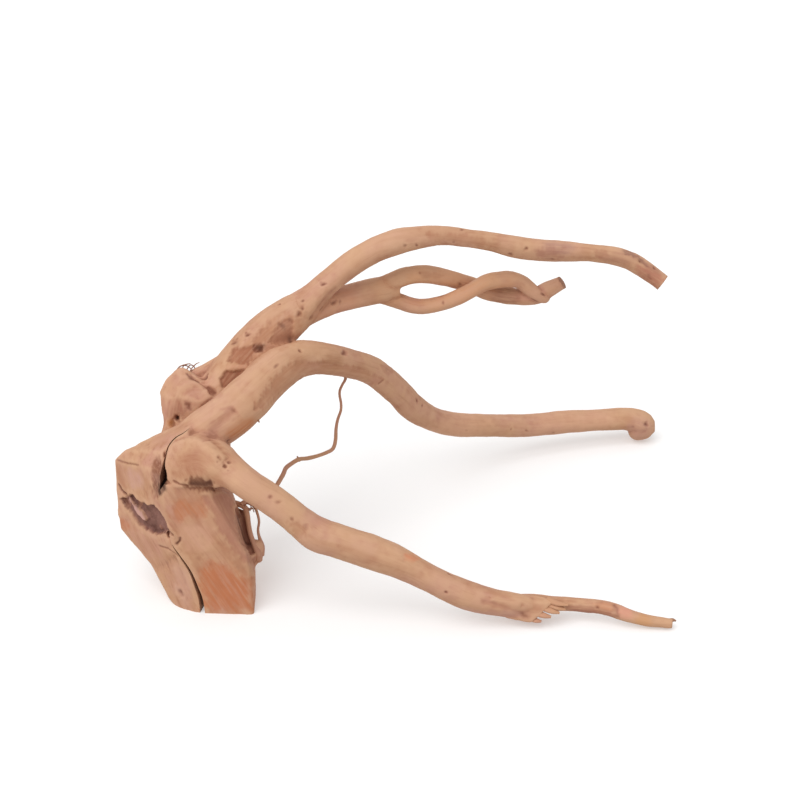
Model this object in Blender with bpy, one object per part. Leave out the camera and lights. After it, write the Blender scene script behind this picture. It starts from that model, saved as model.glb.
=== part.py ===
"""Bogwood root: a sawn, split stump that carries three long limbs and a twisted pair of roots.

The whole thing grew as one piece, so it is one solid. Metres, +Z up, +X along the limbs.
The origin is the middle of the stump's sawn foot, on the surface that the root stands on.
The root stands on that foot, on the front limb's torn end and on the middle limb's hooked tip.
"""

import math

import bmesh
import bpy
import numpy as np
from mathutils import Matrix, Vector

MM = 0.001
NODE = "bogwood_root"

# Wood colour and finish
PEELED_WOOD = (0.58, 0.33, 0.20)
WOOD_ROUGHNESS = 0.68

# How fine the solid is
VOXEL = 1.5 * MM
ROUTE_STEP = 5.0
LIMB_SIDES = 14
ROOTLET_SIDES = 6
SOFTENING_PASSES = 3
SOFTENING = 0.5
FUSED_TRIANGLES = 8600
SHARP_EDGE = math.radians(40)

# The shallow flutes that wind round a limb: their depth, turn and beat for each ring
FLUTE_DEPTH = 0.07
FLUTE_TURN = 0.12
FLUTE_BEAT = 0.23

# Each limb's middle line, from the stump out: x, y, z and radius in millimetres
FRONT_LIMB = [
    (-30, -4, 110, 14), (-20, -10, 118, 16), (-8, -15, 124, 18), (4, -21, 126, 18.5),
    (16, -29, 121.5, 16.5), (32, -37, 112.5, 13.5), (52, -40, 101, 12), (69, -42, 86.5, 12.4),
    (82, -43, 76, 13.9), (100, -44, 69.8, 13.8), (124, -45, 60.8, 13.9), (142, -46, 53.6, 12.6),
    (160, -48, 44.2, 11), (179, -50, 34, 11), (197, -51, 25.4, 11.3), (216, -52, 19.4, 10.9),
    (232, -52, 16, 10), (241, -51, 15, 8.5),
]
MIDDLE_LIMB = [
    (-46, 4, 110, 14), (-25, 4, 123, 15.5), (-5, 7, 136, 18.6), (14, 15, 146.6, 19.1),
    (27, 26.5, 155.2, 18.4), (37, 39, 161.6, 17.5), (47, 51, 166.9, 17), (57, 62, 169, 16),
    (69, 72, 168, 14.2), (84, 84, 162.3, 13.1), (103, 102, 149.5, 12), (122, 122, 131.5, 11.5),
    (142, 141, 104.5, 11.6), (155, 155, 82.5, 11.5), (173, 171, 62.3, 10.3), (195, 188, 47.7, 10.4),
    (228, 207, 36.6, 10), (262, 222, 28.6, 10), (296, 234, 25.6, 10.3), (330, 242, 23.5, 10),
    (354, 247, 22, 10.8), (367.5, 247, 18.3, 12), (371, 245, 12.8, 11), (367, 243, 10, 10.2),
]
BACK_TRUNK = [
    (-26, 34, 126, 14), (-13, 41, 138.5, 15), (2, 51, 151.5, 16), (20.5, 68, 167.6, 19.4),
    (40, 84, 183.5, 19.2), (55.5, 94, 194.6, 16.8), (70, 100, 204.2, 13.6), (84, 105, 216.2, 11),
]
UPPER_LIMB = [
    (55, 94, 194.5, 16), (69, 98, 204, 13.2), (84, 104, 216.2, 11.6), (102, 109, 230.2, 11),
    (123, 114, 242.2, 10.7), (142, 118, 248.4, 10.7), (161, 121, 251.8, 9.2), (180, 123, 252.8, 7.8),
    (199, 125, 249.5, 7.3), (219, 127, 245.7, 7.9), (238, 128, 240.8, 9.1), (258, 129, 237.8, 9),
    (277, 129, 236.8, 8.5), (297, 129, 235.6, 7.2), (316, 128, 233.4, 7.4), (331, 127, 229.2, 7.4),
    (345.5, 125, 220.8, 7.2), (357.5, 123, 212.6, 7), (365.5, 121, 205.4, 7),
]
PAIR_TRUNK = [
    (45, 90, 188.5, 15.5), (62, 100, 195, 16), (79, 111, 197.3, 12.9), (96, 119, 198.7, 11),
    (117, 126, 201.3, 11.1), (132, 130, 203, 11.2), (144, 132, 204, 8.6),
]
PAIR_HIGH = [
    (124, 128, 203, 8.2), (142, 131, 210.8, 7.9), (153, 133, 213.8, 7.9), (166, 136, 213.7, 7.9),
    (181, 141, 208.8, 7.4), (193, 147, 203, 7.1), (205, 151, 197, 7.2), (218, 152, 191, 7.2),
    (232, 151, 188, 7), (246, 148, 188, 6.8), (258, 146, 190, 7.2), (267, 145, 196, 6.9),
    (279.6, 145, 203, 5.6), (289, 145, 208, 5.2),
]
PAIR_LOW = [
    (124, 129, 201, 8.2), (143, 131, 192.2, 7), (155, 130, 188.3, 6.8), (166, 129, 188, 6.5),
    (181, 129, 191.4, 6.5), (194, 131, 196, 6.6), (204, 134, 200.4, 6.6), (214, 138, 205.4, 6.6),
    (224, 141, 207, 6.5), (235, 143, 207, 6.5), (244, 143, 204, 6.4), (251, 142, 198.6, 6.2),
    (258, 141, 193, 5.7), (264, 142, 190, 4.8),
]
FIST = [
    (-34, 26, 120, 9), (-30, 32, 132, 9.5), (-27, 38, 144, 11), (-22, 44, 152, 12), (-8, 47, 150, 12),
]
BACK_ROOT = [
    (-28, 56, 157, 4), (-15, 60, 161.5, 4.2), (-5, 63, 165.5, 4.4), (6, 67, 170, 5), (20, 70, 176, 6),
]
TAIL = [
    (226, -48, 15, 8), (246, -45, 14.4, 7), (263, -45, 13.9, 6.1), (281, -46, 13.6, 5.6),
    (300, -49, 13.2, 5.9), (311, -52, 12, 6), (322, -55, 9.2, 5.2), (336, -57, 6.4, 4.8),
    (346, -58, 5.5, 4.3), (355.5, -59, 5, 4),
]

# The stump, as lumps that meet at its splits: corner points in millimetres
SAWN_LUMP = [
    (-36, -31, 112), (-27, -33, 112), (-34, -32, 101), (-3, -32, 106), (4, -35, 72), (13, -36.5, 59),
    (28, -34, 48), (32, -30, 28), (31, -40, -6), (-10, -38, -6), (-31, -34, 64), (14, 12, 84),
    (18, -12, 92), (23, -16, 60), (30, 2, 31), (30, -12, -6), (24, 34, -6), (22, 36, 40), (10, 38, 88),
    (-30, 42, 98), (-30, 42, -6),
]
LEFT_LUMP = [
    (-76.5, 10, 110.5), (-77, 6, 62), (-67, 8, 118.5), (-41, 12, 130), (-62, -4, 115), (-50, -16, 117),
    (-37, -18, 133), (-38, -25, 124), (-39, -29, 113), (-36, -32, 102), (-31, -34, 68), (-60, -4, 66),
    (-70, 30, 104), (-72, 26, 62), (-46, 38, 112), (-40, 34, 60),
]
LOBE_TOP = [
    (-76, 6, 70), (-74.5, 4, 51), (-70, 0, 48.5), (-62.5, -5, 45), (-48, -13, 24), (-34, -30, 66),
    (-30, -33, 56), (-60, -4, 70), (-66, 26, 56), (-46, 34, 24), (-40, 32, 60), (-18, -32, 30),
]
LOBE_FOOT = [
    (-52, -10, 28), (-45, -15, 17.5), (-41.5, -18, 11), (-37.5, -22, 2.5), (-31, -28, -2),
    (-24, -32, -4), (-13, -37, -6), (-12, -36, 20), (-17, -34, 36), (-28, -32, 54), (-46, -10, 44),
    (-50, 30, 30), (-42, 30, -2), (-30, 40, -6), (-20, 36, 30),
]
BULB = [
    (-31, -20, 136), (-20, -20, 143), (-9, -21, 146), (2, -29, 144), (13, -36, 138), (-31, -30, 116),
    (-24, -34, 111), (-13, -35, 111), (5, -36, 111.5), (18, -37, 112), (-10, -32, 129), (4, -36, 130),
    (-27, -27, 128), (-30, 0, 132), (-5, 0, 144), (15, -20, 140), (-28, -5, 95), (10, -15, 100),
    (20, -20, 115),
]
KNOB = [
    (-30, 50, 166), (-23, 50, 166.5), (-18, 44, 163), (-9, 40, 161), (0, 33, 155), (-38, 46, 160.5),
    (-42, 42, 153.5), (-41, 38, 144), (-37.5, 34, 137), (-39, 30, 128), (-30, 60, 160), (-10, 56, 157),
    (-30, 56, 140), (-12, 50, 140), (-36, 28, 120), (-36, 35, 151), (-25, 31, 153), (-8, 29, 151),
    (-36, 30, 138), (-22, 26, 142), (-34, 28, 128), (-14, 26, 143),
]
FOOT = [
    (240, -46, 22.5), (252, -47.5, 22.5), (261, -54, 19.5), (257, -57, 17.5), (252, -59, 13.5),
    (247, -61, 8.8), (246, -61, 6.5), (236, -60.5, 8), (226, -60, 8.5), (244, -56, 4.5), (253, -50, 10),
    (257, -49, 14), (232, -52, 5.5), (222, -46, 26), (222, -58, 24),
]
CROWN = [
    (-58, 12, 122), (-42, 8, 132), (-30, -14, 122), (6, -22, 112), (14, -4, 116), (16, 26, 118),
    (-4, 42, 124), (-30, 42, 114), (-48, 34, 108), (-30, 0, 90), (10, 0, 90), (4, 36, 84),
    (-40, 36, 84),
]
BACK_LUMP = [
    (-54, 32, 96), (-24, 48, 94), (10, 42, 84), (20, 38, 44), (-6, 50, 52), (-42, 42, 56),
    (-36, 46, 12), (-24, 47, -6), (14, 42, -6), (-34, 10, 60), (10, 10, 60), (-30, 0, -6), (10, 0, -6),
]
BACK_STUB = [(-8, 30, 74, 17), (-4, 44, 70, 14.5), (2, 56, 67, 12.5), (8, 66, 66, 12)]
SIDE_BURL = [
    (24, -16, 50), (37.1, -8, 47.7), (38.6, -10, 42.5), (37.1, -10, 32.3), (32.5, -14, 29.3),
    (29.4, -18, 40.1), (34, 3, 42), (24, -4, 24), (20, 4, 44),
]

# Splits and hollows: middle line on the surface, half width and depth, in millimetres
NECK_SPLIT = [
    (-17, -15, 147, 0.5, 8), (-25, -17, 141, 0.7, 12), (-31.5, -20, 135, 1, 16),
    (-33.5, -25, 127, 1.4, 20), (-35, -29, 119, 2, 20), (-35.5, -31, 113, 3, 20),
    (-38, -32.5, 106, 2.2, 12), (-39, -33, 101, 0.8, 4),
]
SIDE_SPLIT = [
    (-30, -33, 60, 0.4, 3), (-24, -34, 50, 0.7, 8), (-17, -35, 37, 1.0, 14), (-13, -35, 24, 1.3, 18),
    (-10, -36, 12, 1.6, 18), (-9, -36, -4, 2.0, 18),
]
SPLIT_INWARD = Vector((0.15, 0.95, -0.25)).normalized()
SPLIT_OUTSIDE = 10.0
SPLIT_MOUTH = 1.6
SPLIT_BOTTOM = 0.3
PITH_HOLLOW_MIDDLE = Vector((-54, -16, 78)) * MM
PITH_HOLLOW_REACH = (28, 9, 10)
PITH_HOLLOW_TILT = math.radians(30)
PITH_HOLLOW_TURN = math.radians(-32)

# Saw cuts through the limb ends: a point of the cut and the way that is sawn off
FLOOR_SAW = ((0, 0, 0), (0, 0, -1))
UPPER_SAW = ((358, 122, 212.5), (0.80, -0.30, -0.52))
PAIR_SAW = ((280, 145, 203), (0.82, -0.10, 0.56))
STUB_SAW = ((4, 60, 66), (0.52, 0.85, -0.05))
SAW_REACH = 16.0
FLOOR_REACH = 900.0

# Rootlets, thin and hair-like: x, y, z and radius in millimetres
HANGING_ROOTLET = [
    (101, 105, 142, 1.8), (100.1, 104, 133.7, 1.6), (98.1, 104, 130, 1.6), (95.4, 103, 123.8, 1.6),
    (95.4, 102, 118.7, 1.6), (96.3, 101.5, 113.4, 1.6), (96.1, 100, 107, 1.6), (93.5, 99, 99.4, 1.6),
    (92, 97, 91.6, 1.6), (91.5, 94, 82.6, 1.6), (89.5, 90, 76.8, 1.6), (84.6, 86, 75.3, 1.6),
    (77, 80, 75.3, 1.6), (69, 72, 77.4, 1.6), (62.7, 65, 80.4, 1.7), (56.6, 58, 80, 1.7),
    (52.6, 53, 78.7, 1.7), (50.6, 45, 76.9, 1.8), (50.9, 39, 74.7, 1.8), (48.4, 33, 73.4, 1.8),
    (39, 16, 64, 1.8), (30, 9, 56, 2), (20, 6, 50, 2.2),
]
SIDE_ROOTLET = [
    (2, 8, 76, 3), (17.4, 3, 75.7, 2.2), (22.4, -1, 75.4, 2.4), (25.7, -5, 70.5, 2.2),
    (26.7, -7, 62.6, 2), (28.1, -9, 54.7, 2), (31, -11, 45.9, 2.2), (33.7, -13, 39.8, 2.8),
    (34.1, -12, 32.6, 3),
]
SIDE_LOOP = [
    (12, 10, 70, 1.4), (25.5, 8, 72.8, 1.2), (30.6, 7, 69.7, 1.2), (32.9, 5, 64.5, 1.2),
    (34, 3, 58.4, 1.2), (33.1, 1, 52.3, 1.2), (34.4, -3, 47.3, 1.5), (36.5, -7, 42.4, 2.4),
    (35.6, -9, 35.4, 3),
]
TORN_SPLINTERS = [
    [(242.3, -59, 16.5, 2.6), (246.8, -61, 13.2, 2.2), (250.7, -62, 10.7, 1.9), (253.4, -62, 8.9, 1.1)],
    [(243.8, -61, 13.2, 2), (245.7, -62, 9.8, 1.6), (246.2, -62, 6.6, 0.9)],
    [(248.4, -57, 19.7, 2.8), (253, -59, 16.5, 2.3), (256.8, -60, 13.9, 1.9), (260, -60, 11.2, 1.1)],
    [(253.1, -55, 21.1, 2.6), (257.6, -57, 18.8, 2.2), (262.3, -58, 15.3, 1.8), (266.2, -58, 13, 0.9)],
    [(256.5, -51, 21.2, 2.4), (261.8, -53, 19.3, 2), (268, -54, 16.3, 1.6), (273.4, -54, 14.9, 0.8)],
    [(258.9, -49, 21.7, 2), (264.9, -52, 20.5, 1.6), (270.2, -53, 18.8, 1.2), (274.9, -53, 17.9, 0.7)],
]


def smooth_route(points):
    """Rows of x, y, z and radius every few millimetres along a curve through the points."""
    knots = [np.array(point, float) for point in points]
    knots.insert(0, 2 * knots[0] - knots[1])
    knots.append(2 * knots[-1] - knots[-2])
    route = []
    for before, start, end, after in zip(knots, knots[1:], knots[2:], knots[3:]):
        count = max(1, round(np.linalg.norm((end - start)[:3]) / ROUTE_STEP))
        for part in range(count):
            t = part / count
            bend = (2 * before - 5 * start + 4 * end - after) * t**2
            twist = (3 * start - before - 3 * end + after) * t**3
            route.append(0.5 * (2 * start + (end - before) * t + bend + twist))
    route.append(knots[-2])
    return route


def new_object(name, bm):
    """An object in the scene with the given faces, all turned outward."""
    bmesh.ops.recalc_face_normals(bm, faces=bm.faces)
    mesh = bpy.data.meshes.new(name)
    bm.to_mesh(mesh)
    bm.free()
    piece = bpy.data.objects.new(name, mesh)
    bpy.context.scene.collection.objects.link(piece)
    return piece


def bridge(bm, rings):
    """Close a row of rings of corners into a skin with a cap on each end."""
    count = len(rings[0])
    for low, high in zip(rings, rings[1:]):
        for k in range(count):
            after = (k + 1) % count
            bm.faces.new((low[k], low[after], high[after], high[k]))
    bm.faces.new(rings[0])
    bm.faces.new(rings[-1])


def limb(name, points, sides=LIMB_SIDES, flute_depth=FLUTE_DEPTH):
    """A limb along its middle line, with the shallow flutes that wind round a root."""
    route = smooth_route(points)
    middles = [Vector(row[:3]) * MM for row in route]
    bm = bmesh.new()
    rings = []
    side_way = (middles[1] - middles[0]).orthogonal()
    for k, (middle, row) in enumerate(zip(middles, route)):
        along = (middles[min(k + 1, len(middles) - 1)] - middles[max(k - 1, 0)]).normalized()
        side_way = (side_way - along * side_way.dot(along)).normalized()
        up_way = along.cross(side_way)
        ring = []
        for corner in range(sides):
            angle = 2 * math.pi * corner / sides
            flute = flute_depth * math.cos(2 * angle + FLUTE_TURN * k) * math.sin(FLUTE_BEAT * k)
            outward = side_way * math.cos(angle) + up_way * math.sin(angle)
            ring.append(bm.verts.new(middle + outward * row[3] * MM * (1 + flute)))
        rings.append(ring)
    bridge(bm, rings)
    return new_object(name, bm)


def rounded_tip(name, row):
    """A ball that rounds off a limb's tip."""
    bm = bmesh.new()
    place = Matrix.Translation(Vector(row[:3]) * MM)
    bmesh.ops.create_icosphere(bm, subdivisions=3, radius=row[3] * MM, matrix=place)
    return new_object(name, bm)


def lump(name, corners):
    """A lump of wood with flat split faces between its corners."""
    bm = bmesh.new()
    for corner in corners:
        bm.verts.new(Vector(corner) * MM)
    bmesh.ops.convex_hull(bm, input=bm.verts)
    return new_object(name, bm)


def joined(name, pieces):
    """One object with the faces of all the pieces."""
    bm = bmesh.new()
    for piece in pieces:
        bm.from_mesh(piece.data)
        bpy.data.objects.remove(piece)
    return new_object(name, bm)


def finished(piece):
    """The piece with its modifiers applied."""
    evaluated = piece.evaluated_get(bpy.context.evaluated_depsgraph_get())
    mesh = bpy.data.meshes.new_from_object(evaluated)
    piece.modifiers.clear()
    piece.data = mesh
    return piece


def fused(piece):
    """The overlapping lumps and limbs grown together, softened, and thinned to few faces."""
    remesh = piece.modifiers.new("grow_together", "REMESH")
    remesh.mode = "VOXEL"
    remesh.voxel_size = VOXEL
    soften = piece.modifiers.new("soften", "SMOOTH")
    soften.factor = SOFTENING
    soften.iterations = SOFTENING_PASSES
    finished(piece)
    thin = piece.modifiers.new("thin_out", "DECIMATE")
    thin.ratio = FUSED_TRIANGLES / (2 * len(piece.data.polygons))
    return finished(piece)


def cut(piece, cutter, operation="DIFFERENCE"):
    """Cut the piece with a cutter, which is used up."""
    boolean = piece.modifiers.new(operation.lower(), "BOOLEAN")
    boolean.operation = operation
    boolean.solver = "EXACT"
    boolean.object = cutter
    finished(piece)
    bpy.data.objects.remove(cutter)


def saw(name, point, away, reach):
    """A block whose near face is the saw's cut."""
    turn = Vector(away).to_track_quat("Z", "Y").to_matrix().to_4x4()
    place = Matrix.Translation(Vector(point) * MM + Vector(away).normalized() * reach * MM)
    bm = bmesh.new()
    bmesh.ops.create_cube(bm, size=2 * reach * MM, matrix=place @ turn)
    return new_object(name, bm)


def split_cutter(name, points):
    """A wedge along a split: open past the surface and narrowing inward."""
    bm = bmesh.new()
    rings = []
    for k, (x, y, z, half_width, depth) in enumerate(points):
        before, after = points[max(k - 1, 0)], points[min(k + 1, len(points) - 1)]
        along = Vector(after[:3]) - Vector(before[:3])
        half = along.cross(SPLIT_INWARD).normalized() * half_width
        outside = Vector((x, y, z)) - SPLIT_INWARD * SPLIT_OUTSIDE
        inside = Vector((x, y, z)) + SPLIT_INWARD * depth
        mouth = (outside - half * SPLIT_MOUTH, outside + half * SPLIT_MOUTH)
        bottom = (inside + half * SPLIT_BOTTOM, inside - half * SPLIT_BOTTOM)
        rings.append([bm.verts.new(corner * MM) for corner in mouth + bottom])
    bridge(bm, rings)
    return new_object(name, bm)


def hollow_cutter(name):
    """The almond-shaped hollow that the lost pith left in the stump's left face."""
    bm = bmesh.new()
    reach = Matrix.Diagonal(Vector(PITH_HOLLOW_REACH) * MM).to_4x4()
    turn = Matrix.Rotation(PITH_HOLLOW_TURN, 4, "Z") @ Matrix.Rotation(PITH_HOLLOW_TILT, 4, "Y")
    place = Matrix.Translation(PITH_HOLLOW_MIDDLE) @ turn @ reach
    bmesh.ops.create_icosphere(bm, subdivisions=2, radius=1.0, matrix=place)
    return new_object(name, bm)


def wood_material():
    material = bpy.data.materials.new("peeled_wood")
    material.use_nodes = True
    shader = material.node_tree.nodes["Principled BSDF"]
    shader.inputs["Base Color"].default_value = (*PEELED_WOOD, 1.0)
    shader.inputs["Roughness"].default_value = WOOD_ROUGHNESS
    return material


def main():
    for old in list(bpy.data.objects):
        bpy.data.objects.remove(old)

    thick = {
        "front_limb": FRONT_LIMB, "middle_limb": MIDDLE_LIMB, "back_trunk": BACK_TRUNK,
        "upper_limb": UPPER_LIMB, "pair_trunk": PAIR_TRUNK, "pair_high": PAIR_HIGH, "pair_low": PAIR_LOW,
        "fist": FIST, "back_root": BACK_ROOT, "back_stub": BACK_STUB, "tail": TAIL,
    }
    pieces = [limb(name, points) for name, points in thick.items()]
    pieces += [rounded_tip(name + "_tip", thick[name][-1]) for name in ("middle_limb", "pair_low", "tail")]
    lumps = {
        "sawn_lump": SAWN_LUMP, "left_lump": LEFT_LUMP, "lobe_top": LOBE_TOP, "lobe_foot": LOBE_FOOT,
        "bulb": BULB, "crown": CROWN, "knob": KNOB, "back_lump": BACK_LUMP, "side_burl": SIDE_BURL,
        "foot": FOOT,
    }
    pieces += [lump(name, corners) for name, corners in lumps.items()]
    root = fused(joined(NODE, pieces))

    cut(root, split_cutter("neck_split", NECK_SPLIT))
    cut(root, split_cutter("side_split", SIDE_SPLIT))
    cut(root, hollow_cutter("pith_hollow"))

    rootlets = [HANGING_ROOTLET, SIDE_ROOTLET, SIDE_LOOP] + TORN_SPLINTERS
    thin = [limb(f"rootlet_{k}", points, ROOTLET_SIDES, 0) for k, points in enumerate(rootlets)]
    for piece in thin:
        cut(root, piece, "UNION")

    cut(root, saw("floor_saw", *FLOOR_SAW, FLOOR_REACH))
    cut(root, saw("upper_saw", *UPPER_SAW, SAW_REACH))
    cut(root, saw("pair_saw", *PAIR_SAW, SAW_REACH))
    cut(root, saw("stub_saw", *STUB_SAW, SAW_REACH))

    root.data.materials.clear()
    root.data.materials.append(wood_material())
    root.data.shade_smooth()
    root.data.set_sharp_from_angle(angle=SHARP_EDGE)


main()
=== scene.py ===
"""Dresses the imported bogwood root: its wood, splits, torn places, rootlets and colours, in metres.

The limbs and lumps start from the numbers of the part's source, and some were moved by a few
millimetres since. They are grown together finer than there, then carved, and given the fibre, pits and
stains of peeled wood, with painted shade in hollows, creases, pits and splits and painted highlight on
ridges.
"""

import math

import bmesh
import bpy
import numpy as np
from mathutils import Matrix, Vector
from mathutils.bvhtree import BVHTree
from mathutils.kdtree import KDTree


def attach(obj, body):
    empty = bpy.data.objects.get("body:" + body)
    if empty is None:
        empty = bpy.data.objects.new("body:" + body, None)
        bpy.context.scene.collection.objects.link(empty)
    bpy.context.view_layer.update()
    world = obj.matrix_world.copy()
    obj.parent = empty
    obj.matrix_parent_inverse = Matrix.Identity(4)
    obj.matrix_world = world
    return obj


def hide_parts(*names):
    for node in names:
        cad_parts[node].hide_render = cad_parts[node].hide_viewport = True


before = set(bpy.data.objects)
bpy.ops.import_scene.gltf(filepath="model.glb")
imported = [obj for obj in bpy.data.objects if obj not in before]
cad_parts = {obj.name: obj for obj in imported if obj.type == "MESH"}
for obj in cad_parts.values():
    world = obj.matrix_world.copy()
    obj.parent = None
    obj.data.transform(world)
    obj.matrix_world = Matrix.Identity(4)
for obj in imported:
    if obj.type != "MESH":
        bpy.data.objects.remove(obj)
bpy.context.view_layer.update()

MM = 0.001

# The photograph's camera
CAMERA_TARGET = Vector((0.145, 0.080, 0.127))
CAMERA_DISTANCE = 1.35
CAMERA_ELEVATION = math.radians(27)
CAMERA_LENS = 75
CAMERA_SENSOR = 36

# The floor, the sky and the sun
FLOOR_HALF = 6.0
FLOOR_COLOUR = (0.72, 0.72, 0.72, 1)
FLOOR_GLOW = 0.28
SKY_EDGE = (-0.35, 0.45)
SKY_BELOW = (0.76, 0.71, 0.68, 1)
SKY_ABOVE = (0.78, 0.78, 0.78, 1)
SUN_STRENGTH = 1.5
SUN_WIDTH = math.radians(50)
SUN_WAY = Vector((0.45, 0.55, -1.0))

# How fine the wood is
VOXEL = 0.9 * MM
ROUTE_STEP = 2.5
LINE_STEP = 2.0
LIMB_SIDES = 40
WOOD_TRIANGLES = 190000
SHARP_ANGLE = math.radians(50)

# Which limb's fibre each point has, in millimetres
LIMB_APART = 400.0
LIMB_NEAR = 14.0
FIRST_SIDE = (0.0, 0.3, 1.0)
BLOCK_FIBRE = Vector((0.50, -0.10, -0.86)).normalized()
BLOCK_EDGE = (1.5, 5.0)

# Softening: passes, how hollow is soft in millimetres, and how far the block keeps its edges
SOFTENING_PASSES = 3
CREASE_REACH = 12
CREASE_BEND = (0.05, 0.5)
CREASE_PASSES = 24
SPREAD_PASSES = 6
BLOCK_CRISP = 0.6
BLOCK_SOFT = 0.3
# Where limbs leave the stump: middle and reach along x, y and z in millimetres
HUBS = [((-30, 14, 126), (38, 30, 22)), ((10, -30, 124), (14, 26, 18))]
HUB_EDGE = (0.6, 1.1)

# Soft random swells: share, length in millimetres and seed of each
RIPPLE_WAVES = 7
RIPPLE_SPREAD = (0.6, 1.5)
CREASE_RIPPLES = [(0.18, 6, 3)]
PIT_RIPPLES = [(0.22, 5, 5)]
EDGE_RIPPLES = [(0.16, 9, 15), (0.12, 4, 16)]
STAIN_AND_SHADE_RIPPLES = [(1.0, 22, 11), (0.5, 7, 12)]

# Creases: how near they count in millimetres, and the share of their length that fades at each end
LINE_NEAR = 12.0
CREASE_FADE = 0.12

# Pits: seed, roundness, and the raised rim's place, width, height and deepest pit
PIT_SEED = 21
PIT_ROUND = (0.5, 0.9)
RIM_PLACE = 1.9
RIM_WIDTH = 0.7
RIM_HEIGHT = 0.12
RIM_DEEPEST = 2.0
# How dark the pits are painted, partly their own colour and partly painted shade that grows with depth: least
# darkness, depth in millimetres for full darkness, and darkness of the relief's small pits
PIT_DARK = 0.15
PIT_BLACK = 6
PITTED_DARK = 0.5

# Patches: the two ways they are seen along, and how far round and behind them points count
PATCH_UP = np.array((0.0, 0.454, 0.891))
PATCH_FRONT = np.array((0.0, -0.891, 0.454))
PATCH_FACING = -0.1
PATCH_MARGIN = 4.0
PATCH_REACH = 10.0
PATCH_FEATHER = 1.5

# Where the stains and the painted shade laid like them, the painted shade in hollows and splits, the painted
# highlight on ridges and the sawn ends take their colour
STAIN_AND_SHADE_EDGE = (0.45, 1.15)
STAIN_AND_SHADE_WANDER = 0.16
BROAD_REACH = 16
FINE_REACH = 4
HOLLOW_SHADE_BEND = (0.05, 0.5)
RIDGE_HIGHLIGHT_BEND = (0.03, 0.35)
FINE_HOLLOW_SHADE_BEND = (0.02, 0.2)
SPLIT_INSIDE = (0.5, 1.8)
SAWN_NEAR = 0.02
SAWN_REACH = 25
RELIEF_LAYERS = ("grain", "block_grain", "block", "torn", "pitted")

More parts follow.
